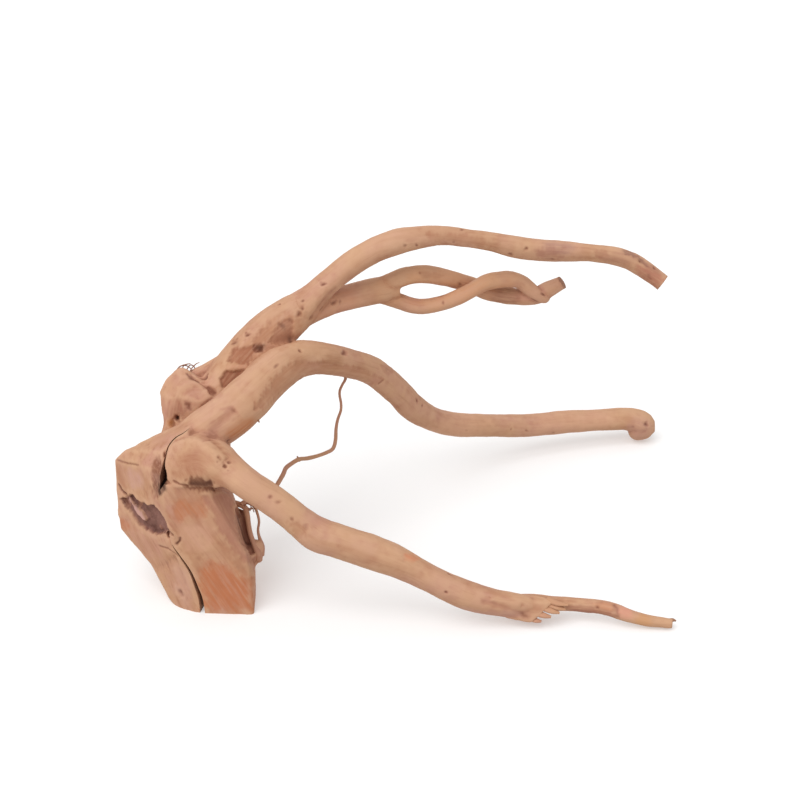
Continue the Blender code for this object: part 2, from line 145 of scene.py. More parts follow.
# Each limb's middle line, from the stump out: x, y, z and radius in millimetres
LIMBS = {
    "front_limb": [
        (-30, -4, 110, 14), (-20, -9, 118, 15.5), (-8, -13, 124, 17), (4, -18, 126, 16.4),
        (16, -26.5, 122, 13.4), (32, -36, 114, 12), (52, -40, 101.3, 12.2), (69, -42, 86.5, 12.4),
        (82, -43, 76, 13.9), (100, -44, 69.8, 13.8), (124, -45, 60.8, 13.9), (142, -46, 53.6, 12.8),
        (160, -48, 44, 11.3), (179, -50, 33.8, 11.3), (197, -51, 25.3, 11.6), (216, -52, 20, 10.5),
        (232, -52, 17.2, 9.8), (242, -51, 16, 7.6), (249, -50, 14.5, 5.5),
    ],
    "middle_limb": [
        (-46, 4, 110, 14), (-25, 4, 123, 15.5), (-5, 7, 136, 18.6), (14, 15, 146.6, 19.1),
        (27, 26.5, 154.9, 18.9), (37, 39, 161.2, 18.1), (47, 51, 166.3, 17.8), (57, 62, 168.5, 16.4),
        (69, 72, 167.8, 14.3), (84, 84, 161.8, 12.8), (103, 102, 149, 11.6), (122.5, 122, 131.8, 11.2),
        (142, 141, 104.5, 11.3), (155, 155, 82.5, 11.4), (173, 171, 62.5, 10.1), (195, 188, 47.7, 10.3),
        (228, 207, 36.4, 10), (262, 222, 28.5, 10.1), (296, 234, 25.6, 10.2), (330, 242, 23.5, 9.9),
        (354, 247, 22, 10.6), (368, 247, 18.2, 11.7), (372.5, 246, 13.4, 10.4), (366.5, 245, 11.2, 9.6),
    ],
    "back_trunk": [
        (-26, 34, 126, 14), (-13, 41, 138.5, 15), (2, 51, 151.5, 16), (20.5, 68, 167.6, 19.4),
        (40, 84, 183.3, 19.3), (56.5, 94, 193.8, 17.4), (70, 100, 203.4, 13.6), (84, 105, 215.6, 10.8),
    ],
    "upper_limb": [
        (55, 94, 193.5, 16), (69, 98, 203.3, 12.8), (84, 104, 216, 10.6), (102, 109, 230.3, 10.5),
        (123, 114, 242.6, 10.7), (142, 118, 248.9, 10.8), (161, 121, 251.8, 9.5), (180, 123, 252.6, 8),
        (199, 125, 249.5, 7.4), (219, 127, 245.7, 7.9), (238, 128, 240.8, 9.1), (258, 129, 237.8, 9),
        (277, 129, 236.8, 8.5), (297, 129, 235.6, 7.2), (316, 128, 233.4, 7.4), (331, 127, 229.1, 7.4),
        (345.3, 125, 220.5, 7.1), (357, 123, 212, 6.8), (365, 121, 204.8, 6.8),
    ],
    "pair_trunk": [
        (45, 90, 188.5, 15.5), (62, 100, 195.8, 15.2), (79, 111, 197.3, 12.7), (96, 119, 198.7, 11),
        (117, 126, 201.3, 11.1), (132, 130, 203, 11.2), (144, 132, 204, 8.6),
    ],
    "pair_high": [
        (124, 128, 203, 8.2), (142, 131, 210.8, 7.9), (153, 133, 213.8, 7.9), (166, 136, 213.7, 7.9),
        (181, 141, 208.8, 7.4), (193, 147, 203, 7.1), (205, 151, 197, 7.2), (218, 151, 191.5, 7.6),
        (232, 150, 189, 7.7), (246, 148, 188, 6.8), (258, 146, 190, 7.2), (267, 145, 196, 6.9),
        (279.6, 145, 203, 5.6), (289, 145, 208, 5.2),
    ],
    "pair_low": [
        (124, 129, 201, 8.2), (143, 131, 192.2, 7), (155, 130, 188.3, 6.8), (166, 129, 188, 6.5),
        (181, 129, 191.4, 6.5), (194, 131, 196, 6.6), (204, 134, 200.4, 6.6), (214, 138, 204.8, 7),
        (224, 141, 206.2, 7.2), (235, 143, 206.2, 7.2), (244, 143, 204, 6.4), (251, 142, 198.6, 6.2),
        (258, 141, 193, 5.7), (264, 142, 190, 4.8),
    ],
    "fist": [
        (-34, 26, 120, 9), (-30, 32, 132, 9.5), (-27, 38, 144, 11), (-22, 44, 152, 12), (-8, 47, 150, 12),
    ],
    "back_root": [
        (-28, 56, 157, 4), (-15, 60, 161.5, 4.2), (-5, 63, 165.5, 4.4), (6, 67, 170, 5), (20, 70, 176, 6),
    ],
    "tail": [
        (226, -48, 15, 8), (246, -45, 14.4, 7), (263, -45, 13.9, 6.1), (281, -46, 13.6, 5.6),
        (300, -49, 13.2, 5.9), (311, -52, 12, 6), (322, -55, 9.2, 5.2), (336, -57, 6.4, 4.8),
        (346, -58, 5.5, 4.3), (354.5, -59, 5, 4),
    ],
    "back_stub": [
        (-8, 30, 74, 17), (-4, 44, 70, 14.5), (2, 56, 67, 12.5), (8, 66, 66, 12),
    ],
    "side_root": [
        (14.6, 10, 62.5, 3.5), (19, 6, 63.9, 4.2), (21.6, 2, 59, 4), (24.7, -3, 51, 3.6),
        (28.5, -6, 40.9, 3.4), (31.5, -8, 33.8, 3),
    ],
}
ROUNDED_TIPS = ("middle_limb", "pair_low", "fist")
TIP_ANGLES = (20, 38, 54, 68, 80)

# The stump, as lumps that meet at its splits: corner points in millimetres
LUMPS = {
    "sawn_lump": [
        (-36, -31, 112), (-27, -33, 112), (-34, -32, 101), (0, -33, 109), (4, -35, 72), (13, -36.5, 59),
        (28, -34, 48), (32, -30, 28), (31, -40, -6), (-10, -38, -6), (-31, -34, 64), (9, 12, 84),
        (16, -12, 92), (22.5, -16, 60), (30, 2, 31), (30, -12, -6), (24, 34, -6), (18, 36, 40),
        (4, 36, 88), (-30, 42, 98), (-30, 42, -6),
    ],
    "left_lump": [
        (-77, 10, 111), (-77.5, 6, 62), (-67, 8, 120.5), (-41, 12, 132), (-62, -4, 116),
        (-50, -16, 117.5), (-33.5, -19, 134), (-35, -25, 125.5), (-36.5, -29, 116), (-35, -32, 102),
        (-31, -34, 68), (-60, -4, 66), (-70, 30, 104), (-72, 26, 62), (-46, 38, 112), (-40, 34, 60),
    ],
    "lobe_top": [
        (-77.5, 6, 70), (-76, 4, 51.5), (-70, 0, 48.5), (-62.5, -5, 45), (-48, -13, 24), (-34, -30, 66),
        (-30, -33, 56), (-60, -4, 70), (-66, 26, 56), (-46, 34, 24), (-40, 32, 60), (-18, -32, 30),
    ],
    "lobe_foot": [
        (-52, -10, 28), (-45, -15, 17.5), (-41.5, -18, 11), (-37.5, -22, 2.5), (-31, -28, -2),
        (-24, -32, -4), (-13, -37, -6), (-12, -36, 20), (-17, -34, 36), (-28, -32, 54), (-46, -10, 44),
        (-50, 30, 30), (-42, 30, -2), (-30, 40, -6), (-20, 36, 30),
    ],
    "crown": [
        (-59, 12, 123.5), (-42, 10, 133), (-33, -18, 135), (-25, -15, 141), (-17, -13, 146),
        (-12, 4, 150), (-30, 14, 138), (6, -22, 112), (12, -4, 116), (13, 24, 118), (-4, 42, 124),
        (-30, 42, 114), (-48, 34, 108), (-30, 0, 90), (10, 0, 90), (4, 36, 84), (-40, 36, 84),
    ],
    "back_lump": [
        (-54, 32, 96), (-24, 48, 94), (3, 40, 84), (15, 38, 44), (-6, 50, 52), (-42, 42, 56),
        (-36, 46, 12), (-24, 47, -6), (14, 42, -6), (-34, 10, 60), (10, 10, 60), (-30, 0, -6),
        (10, 0, -6),
    ],
    "side_burl": [
        (24, -16, 50), (37.1, -8, 47.7), (38.6, -10, 42.5), (37.1, -10, 32.3), (32.5, -14, 29.3),
        (29.4, -18, 40.1), (34, 3, 42), (24, -4, 24), (20, 4, 44),
    ],
    "bulb": [
        (-27, -18, 140), (-31.5, -23, 132), (-33, -28, 123), (-20, -19, 143.5), (-9, -21, 146),
        (2, -29, 143.5), (11, -35, 136.5), (-31, -30, 116), (-24, -34, 111), (-13, -35, 111),
        (6, -37.5, 112), (16, -38, 116), (-10, -33, 129), (5, -38, 128), (-27, -27, 128), (14, -39, 125),
        (-30, 0, 132), (-5, 0, 144), (11, -18, 137), (-28, -5, 95), (6, -15, 102), (15, -20, 114),
    ],
    "knob": [
        (-30, 50, 169.5), (-27, 50, 172), (-23, 50, 171), (-17.5, 44, 164.5), (-8, 40, 162), (1, 33, 156),
        (-39.5, 46, 162), (-43.5, 42, 154), (-42.5, 38, 144), (-38, 34, 137), (-40, 30, 128),
        (-30, 60, 160), (-10, 56, 157), (-30, 56, 140), (-12, 50, 140), (-37, 28, 120), (-37, 34, 152),
        (-25, 30, 154), (-8, 28, 151.5), (-37, 30, 138), (-22, 26, 142), (-35, 28, 128), (-14, 26, 143),
    ],
    "foot": [
        (248.3, -46, 22.9), (256.2, -47, 21.7), (261.2, -50, 20.1), (263, -52, 19.6), (258.7, -55, 16.1),
        (253.6, -58, 12.1), (248.6, -60, 8.4), (246, -61, 5.9), (236, -60, 8.5), (226, -59, 9.5),
        (244, -56, 5.5), (251, -50, 10), (256, -49, 14), (232, -52, 7), (222, -46, 26), (222, -58, 24),
    ],
}

# Saw cuts: a point of the cut in millimetres and the way that is sawn off
FLOOR_SAW = ((0, 0, 0), (0, 0, -1))
END_SAWS = [
    ((358, 122, 212.5), (0.80, -0.30, -0.52)),
    ((279, 145, 202.5), (0.82, -0.10, 0.56)),
    ((4, 60, 66), (0.52, 0.85, -0.05)),
]
SAW_REACH = 16.0
FLOOR_REACH = 900.0

# The two splits through the stump: x, y, z, half width and depth in millimetres
NECK_SPLIT = [
    (-15.1, -14, 149.7, 0.3, 8), (-20, -16, 146.3, 0.4, 12), (-25.7, -18, 143.5, 0.5, 16),
    (-29.6, -20, 139.8, 0.6, 18), (-32.1, -24, 135, 0.7, 20), (-33.6, -28, 129.4, 1, 20),
    (-33.9, -30, 125.3, 1.8, 22), (-33.9, -31, 121.1, 2.9, 24), (-34.5, -32, 116.5, 3.1, 22),
    (-35.6, -32, 112.1, 2.3, 14), (-36.9, -32, 108.2, 1.2, 6), (-38, -33, 105.7, 0.4, 3),
]
SIDE_SPLIT = [
    (-30, -33, 60, 0.4, 3), (-24, -34, 50, 0.7, 8), (-17, -35, 37, 1.0, 14), (-13, -35, 24, 1.3, 18),
    (-10, -36, 12, 1.6, 18), (-9, -36, -4, 2.0, 18),
]
SPLIT_INWARD = Vector((0.15, 0.95, -0.25)).normalized()
SPLIT_OUTSIDE = 10.0
SPLIT_MOUTH = 1.4
SPLIT_BOTTOM = 0.3

# Creases pressed into the wood: half width, depth (raised where below 0), darkness laid in as painted shade,
# and middle line
CREASES = [
    (3.6, -1.3, 0.0, [(0.6, -20, 144.2), (7.9, -27, 140.3), (15, -33, 135.1)]),
    (1.1, 1.6, 0.7, [(-73.7, 8, 91.4), (-70.4, 5, 86.8), (-65.5, -1, 85.3)]),
    (0.9, 0.7, 0.2, [(-40.6, -20, 53), (-33.9, -30, 54.1), (-27.4, -35, 51.4), (-23.8, -36, 49.3)]),
    (0.9, 0.7, 0.3, [(-76, 10, 111), (-66, -2, 114), (-54, -12, 118)]),
    (1.6, -0.8, 0.0, [(-46, -14, 89.3), (-36.9, -22, 82.5), (-30.9, -30, 76.6), (-25.7, -34, 66.5)]),
    (0.9, 1.2, 0.8, [(-23.2, -36, 68.2), (-23.6, -36, 64.6), (-27.1, -36, 60.8)]),
    (0.9, 1.0, 0.25, [(-27.2, -34, 116.7), (-20.5, -35, 113.8), (-13.7, -36, 112.3)]),
    # Under the bulb: a deep crease darkened fully, painted shadow
    (3.6, 3.0, 1.0, [(-14.3, -36, 114.9), (-5.2, -37, 114.1), (4.7, -38, 115.6)]),
    (2.6, -0.7, 0.0, [(45, 20, 161), (61, 42, 170), (80, 65, 169), (101, 84, 154)]),
    (2.4, 0.6, 0.0, [(60, 40, 160), (78, 62, 162), (99, 82, 147), (114, 98, 132)]),
    (4.5, 1.3, 0.08, [(2, -14, 144), (6, -8, 149), (11, -4, 153), (20, 4, 158)]),
    (2.2, 0.7, 0.08, [(96, 96, 220), (85, 92, 210), (78, 88, 201), (72, 87, 194)]),
    (2.2, 0.6, 0.08, [(205, -62, 28), (215, -63, 26), (225, -63, 22), (233, -63, 18), (245, -62, 10)]),
    (1.8, -0.9, 0.0, [(214, -62, 30), (226, -61, 27), (238, -60, 22)]),
    (1.8, 2.0, 0.15, [(-20, 46, 167), (-12, 41, 164), (-2, 36, 160), (5, 30, 157)]),
    (1.2, 0.8, 0.5, [(-22, 46, 168.8), (-18.6, 42, 166.5), (-13, 40, 164.9), (-9.3, 42, 165.2)]),
    (1.4, 0.7, 0.25, [(312, -58, 10), (312, -56, 16), (309, -52, 19)]),
    # The crevice behind the side rootlets, darkened fully as painted shade
    (2.4, 3.4, 1.0, [(19.8, -8, 72.3), (21.9, -10, 63.5), (25.5, -12, 53.8), (29.2, -14, 44.1)]),
]

# Holes and pits: x, y, z, half width and depth in millimetres
PITS = [
    (-28.5, 25, 139, 1.8, 6), (-19, 28, 148, 2.2, 1.2), (-33, 22, 136, 2.2, 1.5), (-9, 48, 165, 2.2, 3),
    (35, 60, 183, 2.2, 5), (52, 75, 195, 1.8, 3), (58, 73, 183, 2.2, 4), (26, 67, 190, 1.6, 1.6),
    (16, 64, 185, 2.4, 1.2), (43, 74, 197, 1.2, 0.7), (58, 79, 199, 1.6, 1.2), (65, 82, 202, 1.4, 0.9),
    (68, 84, 206, 1.2, 0.8), (68, 87, 212, 1.0, 0.6), (84, 94, 223, 1.3, 1.2), (50, 87, 208, 0.8, 0.8),
    (92, 105, 202, 1.6, 1.6), (97, 107, 202, 1.2, 0.6), (67, 58, 182, 1.1, 0.8), (101, 88, 166, 1.8, 1.2),
    (14, -37, 140, 1.5, 1.2), (12, -37, 142, 1.1, 1), (15, -42, 136, 1.4, 1.6), (18, -38, 139, 1.2, 1),
    (48, -48, 111, 1.1, 0.5), (54, -49, 107, 1.3, 0.5), (74, -54, 88, 1.5, 0.5), (64, -52, 95, 1.2, 0.4),
    (183, -50, 44, 1.0, 1), (180, -60, 35, 1.2, 1), (-27, -33, 15, 2.2, 1.6), (188, 116, 249.3, 1.2, 0.9),
    (194.4, 122, 258.1, 1.3, 0.8), (246.2, 121, 242.4, 1.3, 0.9), (233.2, 121, 237.5, 1.1, 0.7),
    (149.6, 108, 249.3, 1.2, 0.8), (158.7, 110, 248.3, 1.1, 0.7), (267.4, 122, 231.8, 1.2, 0.7),
    (159.9, 145, 92.9, 1.1, 0.8), (164.3, 150, 86, 1.1, 0.8), (245.8, 202, 34.5, 1.0, 0.5),
    (258.4, 212, 29.7, 1.0, 0.5), (284.1, 224, 23.8, 0.9, 0.4), (334.4, 238, 18.5, 1.1, 0.5),
    (135.9, 120, 134.5, 1.3, 0.7), (174, 119, 246, 1.1, 0.8), (338, 121, 231, 1.6, 1.4),
    (345, 118, 220, 1.4, 1.4), (350, 122, 225, 1.2, 1), (372, 237, 22, 1.9, 2.0),
    (136, 133, 216, 0.9, 0.7), (193.9, 140, 203.4, 1.4, 0.8), (161.2, 128, 218.1, 1.2, 0.6),
    (180.1, 124, 193.4, 1.1, 0.6), (297, -53, 16, 1.3, 1.2),
]


def upright(y, places):
    """Corner points that all lie at one y, from their x and z."""
    return [(x, y, z) for x, z in places]


# Sunk patches with their colour, seen square on from the front, some the wood's own and some painted shade:
# depth in millimetres, width of the edge, how torn, colour, how strong it is and corner points in millimetres
PATCHES = [
    (0.3, 7.0, 0.0, (182, 128, 94), 0.6, [
        (4.6, 40, 157.9), (7.9, 44, 169.8), (11.7, 52, 183.3), (19.6, 62, 188.1), (33.4, 68, 193.1),
        (44.2, 76, 201.5), (61, 84, 200.5), (66.3, 84, 191), (63.3, 76, 179.8), (46.6, 64, 179.3),
        (32.1, 56, 174.4), (22.2, 48, 166.1), (13.8, 40, 156.1),
    ]),
    (4.6, 2.0, 1.0, (136, 94, 80), 0.6, [
        (-74, 6, 77.6), (-68.4, 2, 81.4), (-64.5, -2, 86.3), (-59.6, -6, 84.6), (-55.6, -10, 84.4),
        (-49.9, -18, 86.3), (-43.2, -25, 88.7), (-38.9, -28, 84.8), (-34.9, -31, 79.8),
        (-31.9, -32, 72.5), (-28.8, -33, 68.5), (-34.7, -28, 66.6), (-42.1, -22, 62.3),
        (-48.2, -18, 60.7), (-52, -15, 61.8), (-56.7, -11, 62.8), (-61.6, -8, 65.9), (-64.7, -5, 69.9),
        (-69, -1, 73.9),
    ]),
    (4.4, 2.0, 0.8, (104, 58, 54), 0.75, [
        (-58.2, -11, 65.4), (-52.8, -14, 66.1), (-47.1, -18, 69.1), (-40.2, -24, 73.3),
        (-35.1, -30, 71.8), (-31.6, -32, 69.1), (-40.8, -24, 64.1), (-47.7, -18, 61.3),
        (-54.2, -13, 62.3),
    ]),
    (5.4, 1.4, 0.2, (80, 42, 42), 0.9, [
        (-64.7, -2, 86.3), (-62.3, -3, 86.9), (-59.3, -6, 84.6), (-57.4, -8, 79.8), (-59, -7, 76.9),
        (-62, -5, 80.3), (-64.1, -3, 83.1),
    ]),
    (4.2, 1.6, 0.2, (92, 54, 50), 0.8, [
        (-73, 5, 79), (-70.8, 4, 79.6), (-68.3, 1, 76.8), (-68.2, 0, 73.3), (-70.5, 2, 73.9),
        (-72.7, 5, 76.1),
    ]),
    (3.6, 1.4, 0.4, (110, 70, 58), 0.6, [
        (-43.9, -25, 88.1), (-40.9, -26, 87.6), (-37.4, -29, 83.7), (-34.1, -31, 78.1),
        (-31.4, -32, 71.9), (-34.5, -30, 73.5), (-38.3, -28, 79.2), (-41.6, -26, 84.2),
    ]),
    (1.4, 1.5, 0.0, (204, 160, 154), 0.85, [
        (-68.4, 1, 82.2), (-65.3, -1, 83.1), (-62.5, -4, 78.3), (-58.8, -7, 76.6), (-54.9, -11, 74.1),
        (-52.7, -13, 70.1), (-53.8, -13, 68.1), (-57, -11, 69.2), (-61.2, -8, 71.7), (-64.6, -4, 76.8),
    ]),
    (3.2, 1.2, 0.0, (190, 146, 134), 0.6, [
        (-43.7, -22, 69.2), (-41.6, -23, 69.3), (-40.1, -24, 66.4), (-41, -24, 65), (-42.7, -23, 67),
    ]),
    # Near black in the mouth of the neck split: painted shade
    (0.5, 1.8, 0.0, (40, 20, 17), 0.95, [
        (-39, -28, 113.4), (-36.8, -27, 118.4), (-35.2, -25, 121.1), (-31.7, -24, 117.3),
        (-31.6, -26, 110.6), (-32.8, -29, 106.2), (-34.3, -31, 105.2), (-37.5, -32, 101.6),
        (-39.3, -30, 107.4),
    ]),
    (0.2, 2.0, 0.2, (196, 152, 134), 0.6, [
        (-42.7, -25, 117.8), (-39.5, -25, 117.8), (-37, -27, 116.2), (-37.1, -28, 111.8),
        (-39.1, -28, 110.9), (-42, -26, 114.5),
    ]),
    (1.8, 3.2, 0.4, (152, 94, 68), 0.7, upright(55, [
        (9.8, 173.2), (13.4, 184.4), (19.3, 185.9), (28.8, 187.5), (32.4, 181.8), (26.5, 171.4),
        (18.7, 171.9),
    ])),
    (0.1, 1.4, 0.0, (200, 148, 120), 0.6, upright(48, [
        (10, 173.5), (17.1, 174.1), (24.8, 173.1), (22.4, 170), (16.2, 171.1), (9.9, 170),
    ])),
    (2.4, 3.0, 0.4, (142, 86, 62), 0.8, upright(44, [
        (3.7, 164.2), (9.5, 170.7), (16.5, 171.7), (23.1, 171.1), (20.1, 164.6), (13.6, 157.6),
        (7.2, 155.9),
    ])),
    (2.2, 1.6, 0.3, (112, 62, 44), 0.9, upright(60, [
        (28.9, 181.2), (30.3, 186), (35.4, 187.3), (38.4, 184.7), (37.5, 180.3), (32.7, 178.2),
    ])),
    (1.4, 3.4, 0.4, (158, 106, 82), 0.7, upright(73, [
        (40.5, 180.3), (44.7, 187.3), (49.8, 198.6), (53.8, 201.1), (60.1, 200.3), (61.5, 193.4),
        (58.8, 182.9), (50.8, 180.3),
    ])),
    (1.1, 5.0, 0.0, (172, 122, 92), 0.6, upright(68, [
        (30, 184.4), (34.3, 193.9), (41.5, 198.2), (45.2, 192.2), (41, 183.5), (34.6, 180.9),
    ])),
    (2.6, 1.8, 0.0, (120, 66, 46), 0.8, upright(35, [
        (-5.3, 160.8), (-3.7, 161.3), (1.9, 156.5), (0.2, 153.9), (-2.8, 156),
    ])),
    # Darker along the middle limb's front face, turned from the light: painted shade
    (0.8, 5.0, 0.0, (182, 130, 98), 0.5, [
        (46.3, 20, 173), (50.6, 25, 176.5), (56.2, 35, 178.5), (60.2, 45, 177.1), (71.3, 55, 174),
        (85.5, 68, 166), (100.1, 80, 158.5), (116.6, 92, 147.3), (132.7, 105, 130.9), (130.2, 105, 126.3),
        (112.4, 95, 137.7), (96.5, 85, 145.3), (81.1, 72, 153.5), (70, 58, 159.5), (62.6, 48, 157.4),
        (53.7, 38, 153.7), (45.7, 28, 150.9), (38.5, 20, 148.9), (33.6, 15, 151.5), (39.4, 15, 164.4),
    ]),
    (0.3, 5.0, 0.0, (188, 122, 86), 0.8, upright(-34, [
        (-27.2, 98.4), (-16.5, 100.5), (-6.8, 101.1), (-1.4, 92), (-3.7, 86.1), (-13.5, 85.2),
        (-24.3, 81.7), (-29, 85.2),
    ])),
    # The stump's right face: partly the wood's purple-brown, partly painted shade of a face turned from the
    # light
    (0.5, 4.5, 0.0, (178, 126, 106), 0.75, [
        (-2.8, -34, 103.3), (17, -20, 99.6), (16.8, -16, 81.3), (22.7, -16, 58.3), (27.4, -20, 44.4),
        (31.3, -24, 36.6), (19.9, -32, 52), (13.6, -34, 62.6), (7.5, -35, 74.6), (2.3, -35, 88.1),
    ]),
    (0.2, 8.0, 0.0, (186, 114, 76), 0.85, upright(-34, [
        (-6.1, 41.2), (0, 45.2), (9.8, 43), (19.3, 34.8), (30.2, 30.2), (32.2, 0.4), (-9.4, 0.4),
        (-9.4, 17), (-11.7, 28.9),
    ])),
    # Under the bulb: painted shadow
    (1.8, 6.0, 0.0, (116, 70, 48), 0.8, upright(-34, [
        (-14.5, 116.7), (-7.7, 118.7), (3.5, 114.1), (4.8, 108.9), (-7.3, 109.3), (-14.7, 111.5),
    ])),
    # Left of the neck split: torn brown wood, darkened as painted shade
    (1.2, 6.0, 0.5, (134, 88, 68), 0.65, upright(-24, [
        (-40.1, 122.3), (-36.4, 127.5), (-35, 120.6), (-37.2, 103.1), (-40.3, 97), (-43.1, 105.8),
        (-43.6, 115.4),
    ])),
    # The crevice behind the side rootlets: painted shade
    (2.5, 1.8, 0.1, (116, 68, 50), 0.95, upright(-12, [
        (18.5, 80.6), (23.9, 79.2), (25, 67.5), (27.3, 53.8), (32.9, 41), (29.6, 37.3), (22.9, 52.9),
        (19.6, 67.5),
    ])),
    (0.4, 1.6, 0.0, (160, 108, 86), 0.7, upright(-52, [
        (272.7, 17.3), (291.2, 15.9), (303, 11.7), (313.9, 9.9), (314.2, 5.2), (303.3, 6.6),
        (287.6, 11.3), (272.9, 13.1),
    ])),
    (-0.6, 1.8, 0.3, (200, 142, 108), 0.6, upright(-53, [
        (294.1, 18.8), (303.2, 20.2), (308.8, 17), (308.2, 12.9), (298.9, 14.7),
    ])),
    (0.3, 6.0, 0.0, (176, 124, 94), 0.5, upright(118, [
        (166.5, 254.9), (189.5, 256.2), (208.7, 252.4), (221.6, 246.8), (214.5, 244.3), (197.7, 246),
        (182.5, 247.3), (169.7, 249.8),
    ])),
    (0.3, 6.0, 0.0, (162, 112, 94), 0.6, upright(122, [
        (254, 240.5), (263.5, 243.1), (276.4, 241.8), (275.1, 234.5), (264, 232.3), (255.8, 234.5),
    ])),
    (0.2, 3.0, 0.0, (166, 114, 92), 0.6, upright(122, [
        (300.5, 240.1), (308.5, 240.5), (313.6, 235.4), (305.7, 233.2), (301.6, 235.4),
    ])),
    (0.5, 2.0, 0.2, (128, 88, 78), 0.7, upright(121, [
        (324.3, 241.8), (330.8, 240.9), (336.7, 235.8), (332.8, 234.5), (326.2, 237.5),
    ])),
    (0.5, 2.0, 0.2, (132, 92, 80), 0.7, upright(119, [
        (337.3, 235.3), (341.5, 232.3), (345.9, 227.1), (342.7, 226.2), (338.4, 231.4),
    ])),
    (0.2, 3.0, 0.25, (178, 118, 96), 0.7, upright(118, [
        (334.3, 230.1), (340.8, 229.2), (347.5, 224.9), (357.8, 216.2), (352.6, 210.1), (342.4, 217.9),
        (335.5, 224),
    ])),
    (0.2, 4.0, 0.0, (170, 118, 88), 0.5, upright(128, [
        (159.6, 219.9), (169.3, 220.3), (180.7, 216.4), (177.5, 212.4), (166.1, 214.2),
    ])),
    (0.4, 5.0, 0.0, (170, 116, 86), 0.5, upright(-53, [
        (61.2, 93.2), (68.7, 92.3), (76.7, 86.2), (74.4, 80.9), (66.9, 83.5), (61.8, 88.8),
    ])),
    (0.1, 2.4, 0.0, (206, 130, 94), 0.6, upright(-50, [
        (148.8, 62.2), (155.6, 63.1), (160.2, 57.7), (154.9, 55), (149.6, 57.7),
    ])),
    (0.3, 2.4, 0.0, (170, 118, 92), 0.5, [
        (129.3, 116, 141.1), (135.1, 118, 141), (140, 124, 131.7), (135.8, 124, 127), (130.9, 118, 134.6),
    ]),
]

# Stains, and painted shade laid the same way: middle, reach along x, y and z in millimetres, colour and
# strength
STAINS_AND_SHADE = [
    ((-72, 2, 57), (7, 8, 6), (182, 116, 82), 0.8),
    # Darker front face of the bulb, turned from the light: painted shade
    ((-10, -32, 131), (17, 12, 14), (168, 114, 86), 0.75),
    # Left of the neck split, two darker spots: painted shade
    ((-39, -24, 121), (5, 10, 12), (132, 82, 60), 0.75),
    ((-40, -28, 108), (4, 8, 8), (92, 54, 42), 0.8),
    # The knob's lower face, under its brow: painted shade
    ((-28, 28, 143), (11, 9, 11), (154, 102, 82), 0.7),
    ((-33, 24, 135), (4, 6, 4), (176, 112, 54), 0.8),
    # Under the middle limb's base: painted shade
    ((24, 2, 144), (14, 12, 9), (184, 114, 68), 0.7),
    # In the corner between the limbs: painted shade
    ((4, -8, 148), (8, 8, 8), (164, 114, 98), 0.3),
    ((145, 109, 250), (14, 8, 6), (212, 172, 140), 0.4),
    ((-6, 48, 158), (12, 12, 8), (204, 146, 116), 0.6),
    ((190, 185, 50), (50, 40, 22), (216, 168, 136), 0.55),
    ((290, 232, 27), (64, 25, 16), (212, 164, 136), 0.5),
    ((95, 105, 200), (26, 25, 12), (216, 162, 128), 0.5),
    ((180, 135, 203), (70, 20, 22), (210, 154, 114), 0.45),
    # Along the middle limb's front face, turned from the light: painted shade
    ((66, 52, 175), (16, 12, 7), (168, 116, 82), 0.5),
    ((90, 74, 164), (18, 14, 8), (162, 112, 80), 0.6),
    ((112, 95, 145), (13, 12, 10), (168, 118, 88), 0.5),
    ((273, 122, 242), (14, 9, 6), (166, 124, 112), 0.6),
    ((326, 121, 234), (20, 9, 8), (166, 118, 98), 0.5),
    ((347, 118, 222), (12, 9, 12), (158, 106, 86), 0.6),
    ((284, -52, 12), (14, 8, 5), (146, 98, 88), 0.7),
    ((304, -54, 16), (10, 8, 7), (168, 112, 88), 0.6),
    ((318, -57, 13), (7, 8, 6), (212, 148, 126), 0.7),
    ((333, -60, 8), (10, 8, 6), (196, 142, 92), 0.6),
    ((205, -58, 14), (40, 10, 8), (194, 148, 134), 0.55),
    ((366, 238, 16), (14, 16, 12), (180, 134, 120), 0.55),
    ((233, 144, 190), (12, 9, 8), (146, 98, 78), 0.7),
    ((89, 97, 206), (16, 12, 8), (164, 114, 82), 0.5),
    ((-24, -32, 22), (10, 10, 26), (204, 160, 142), 0.5),
    ((-60, -8, 104), (14, 12, 10), (204, 160, 146), 0.6),
    ((-10, -35, 68), (16, 10, 14), (212, 164, 138), 0.6),
]

# Rootlets, thin and hair-like: x, y, z and radius in millimetres
HANGING_ROOTLET = [
    (101, 105, 142, 1.5), (100.1, 104, 133.7, 1.25), (98.1, 104, 130, 1.15), (95.4, 103, 123.8, 1.15),
    (95.4, 102, 118.7, 1.15), (96.3, 101.5, 113.4, 1.2), (96.1, 100, 107, 1.2), (93.5, 99, 99.4, 1.25),
    (92, 97, 91.6, 1.3), (91.5, 94, 82.6, 1.35), (89.5, 90, 76.8, 1.45), (84.6, 86, 75.3, 1.5),
    (77, 80, 75.3, 1.5), (69, 72, 77.4, 1.55), (62.7, 65, 80.4, 1.6), (56.6, 58, 80, 1.65),
    (52.6, 53, 78.7, 1.7), (50.6, 45, 76.9, 1.75), (42.4, 34, 67.7, 1.8), (36.2, 22, 71.9, 1.85),
    (30, 12, 75.9, 1.9), (25.3, 3, 77.6, 2), (21, -2, 76.9, 2.1),
]
SIDE_ROOTLET = [
    (6, 4, 78, 2.4), (22.4, -1, 75.4, 2.4), (25.7, -5, 70.5, 2.2), (26.7, -7, 62.6, 2),
    (28.1, -9, 54.7, 2), (31, -11, 45.9, 2.2), (33.7, -13, 39.8, 2.8), (34.1, -12, 32.6, 3),
]
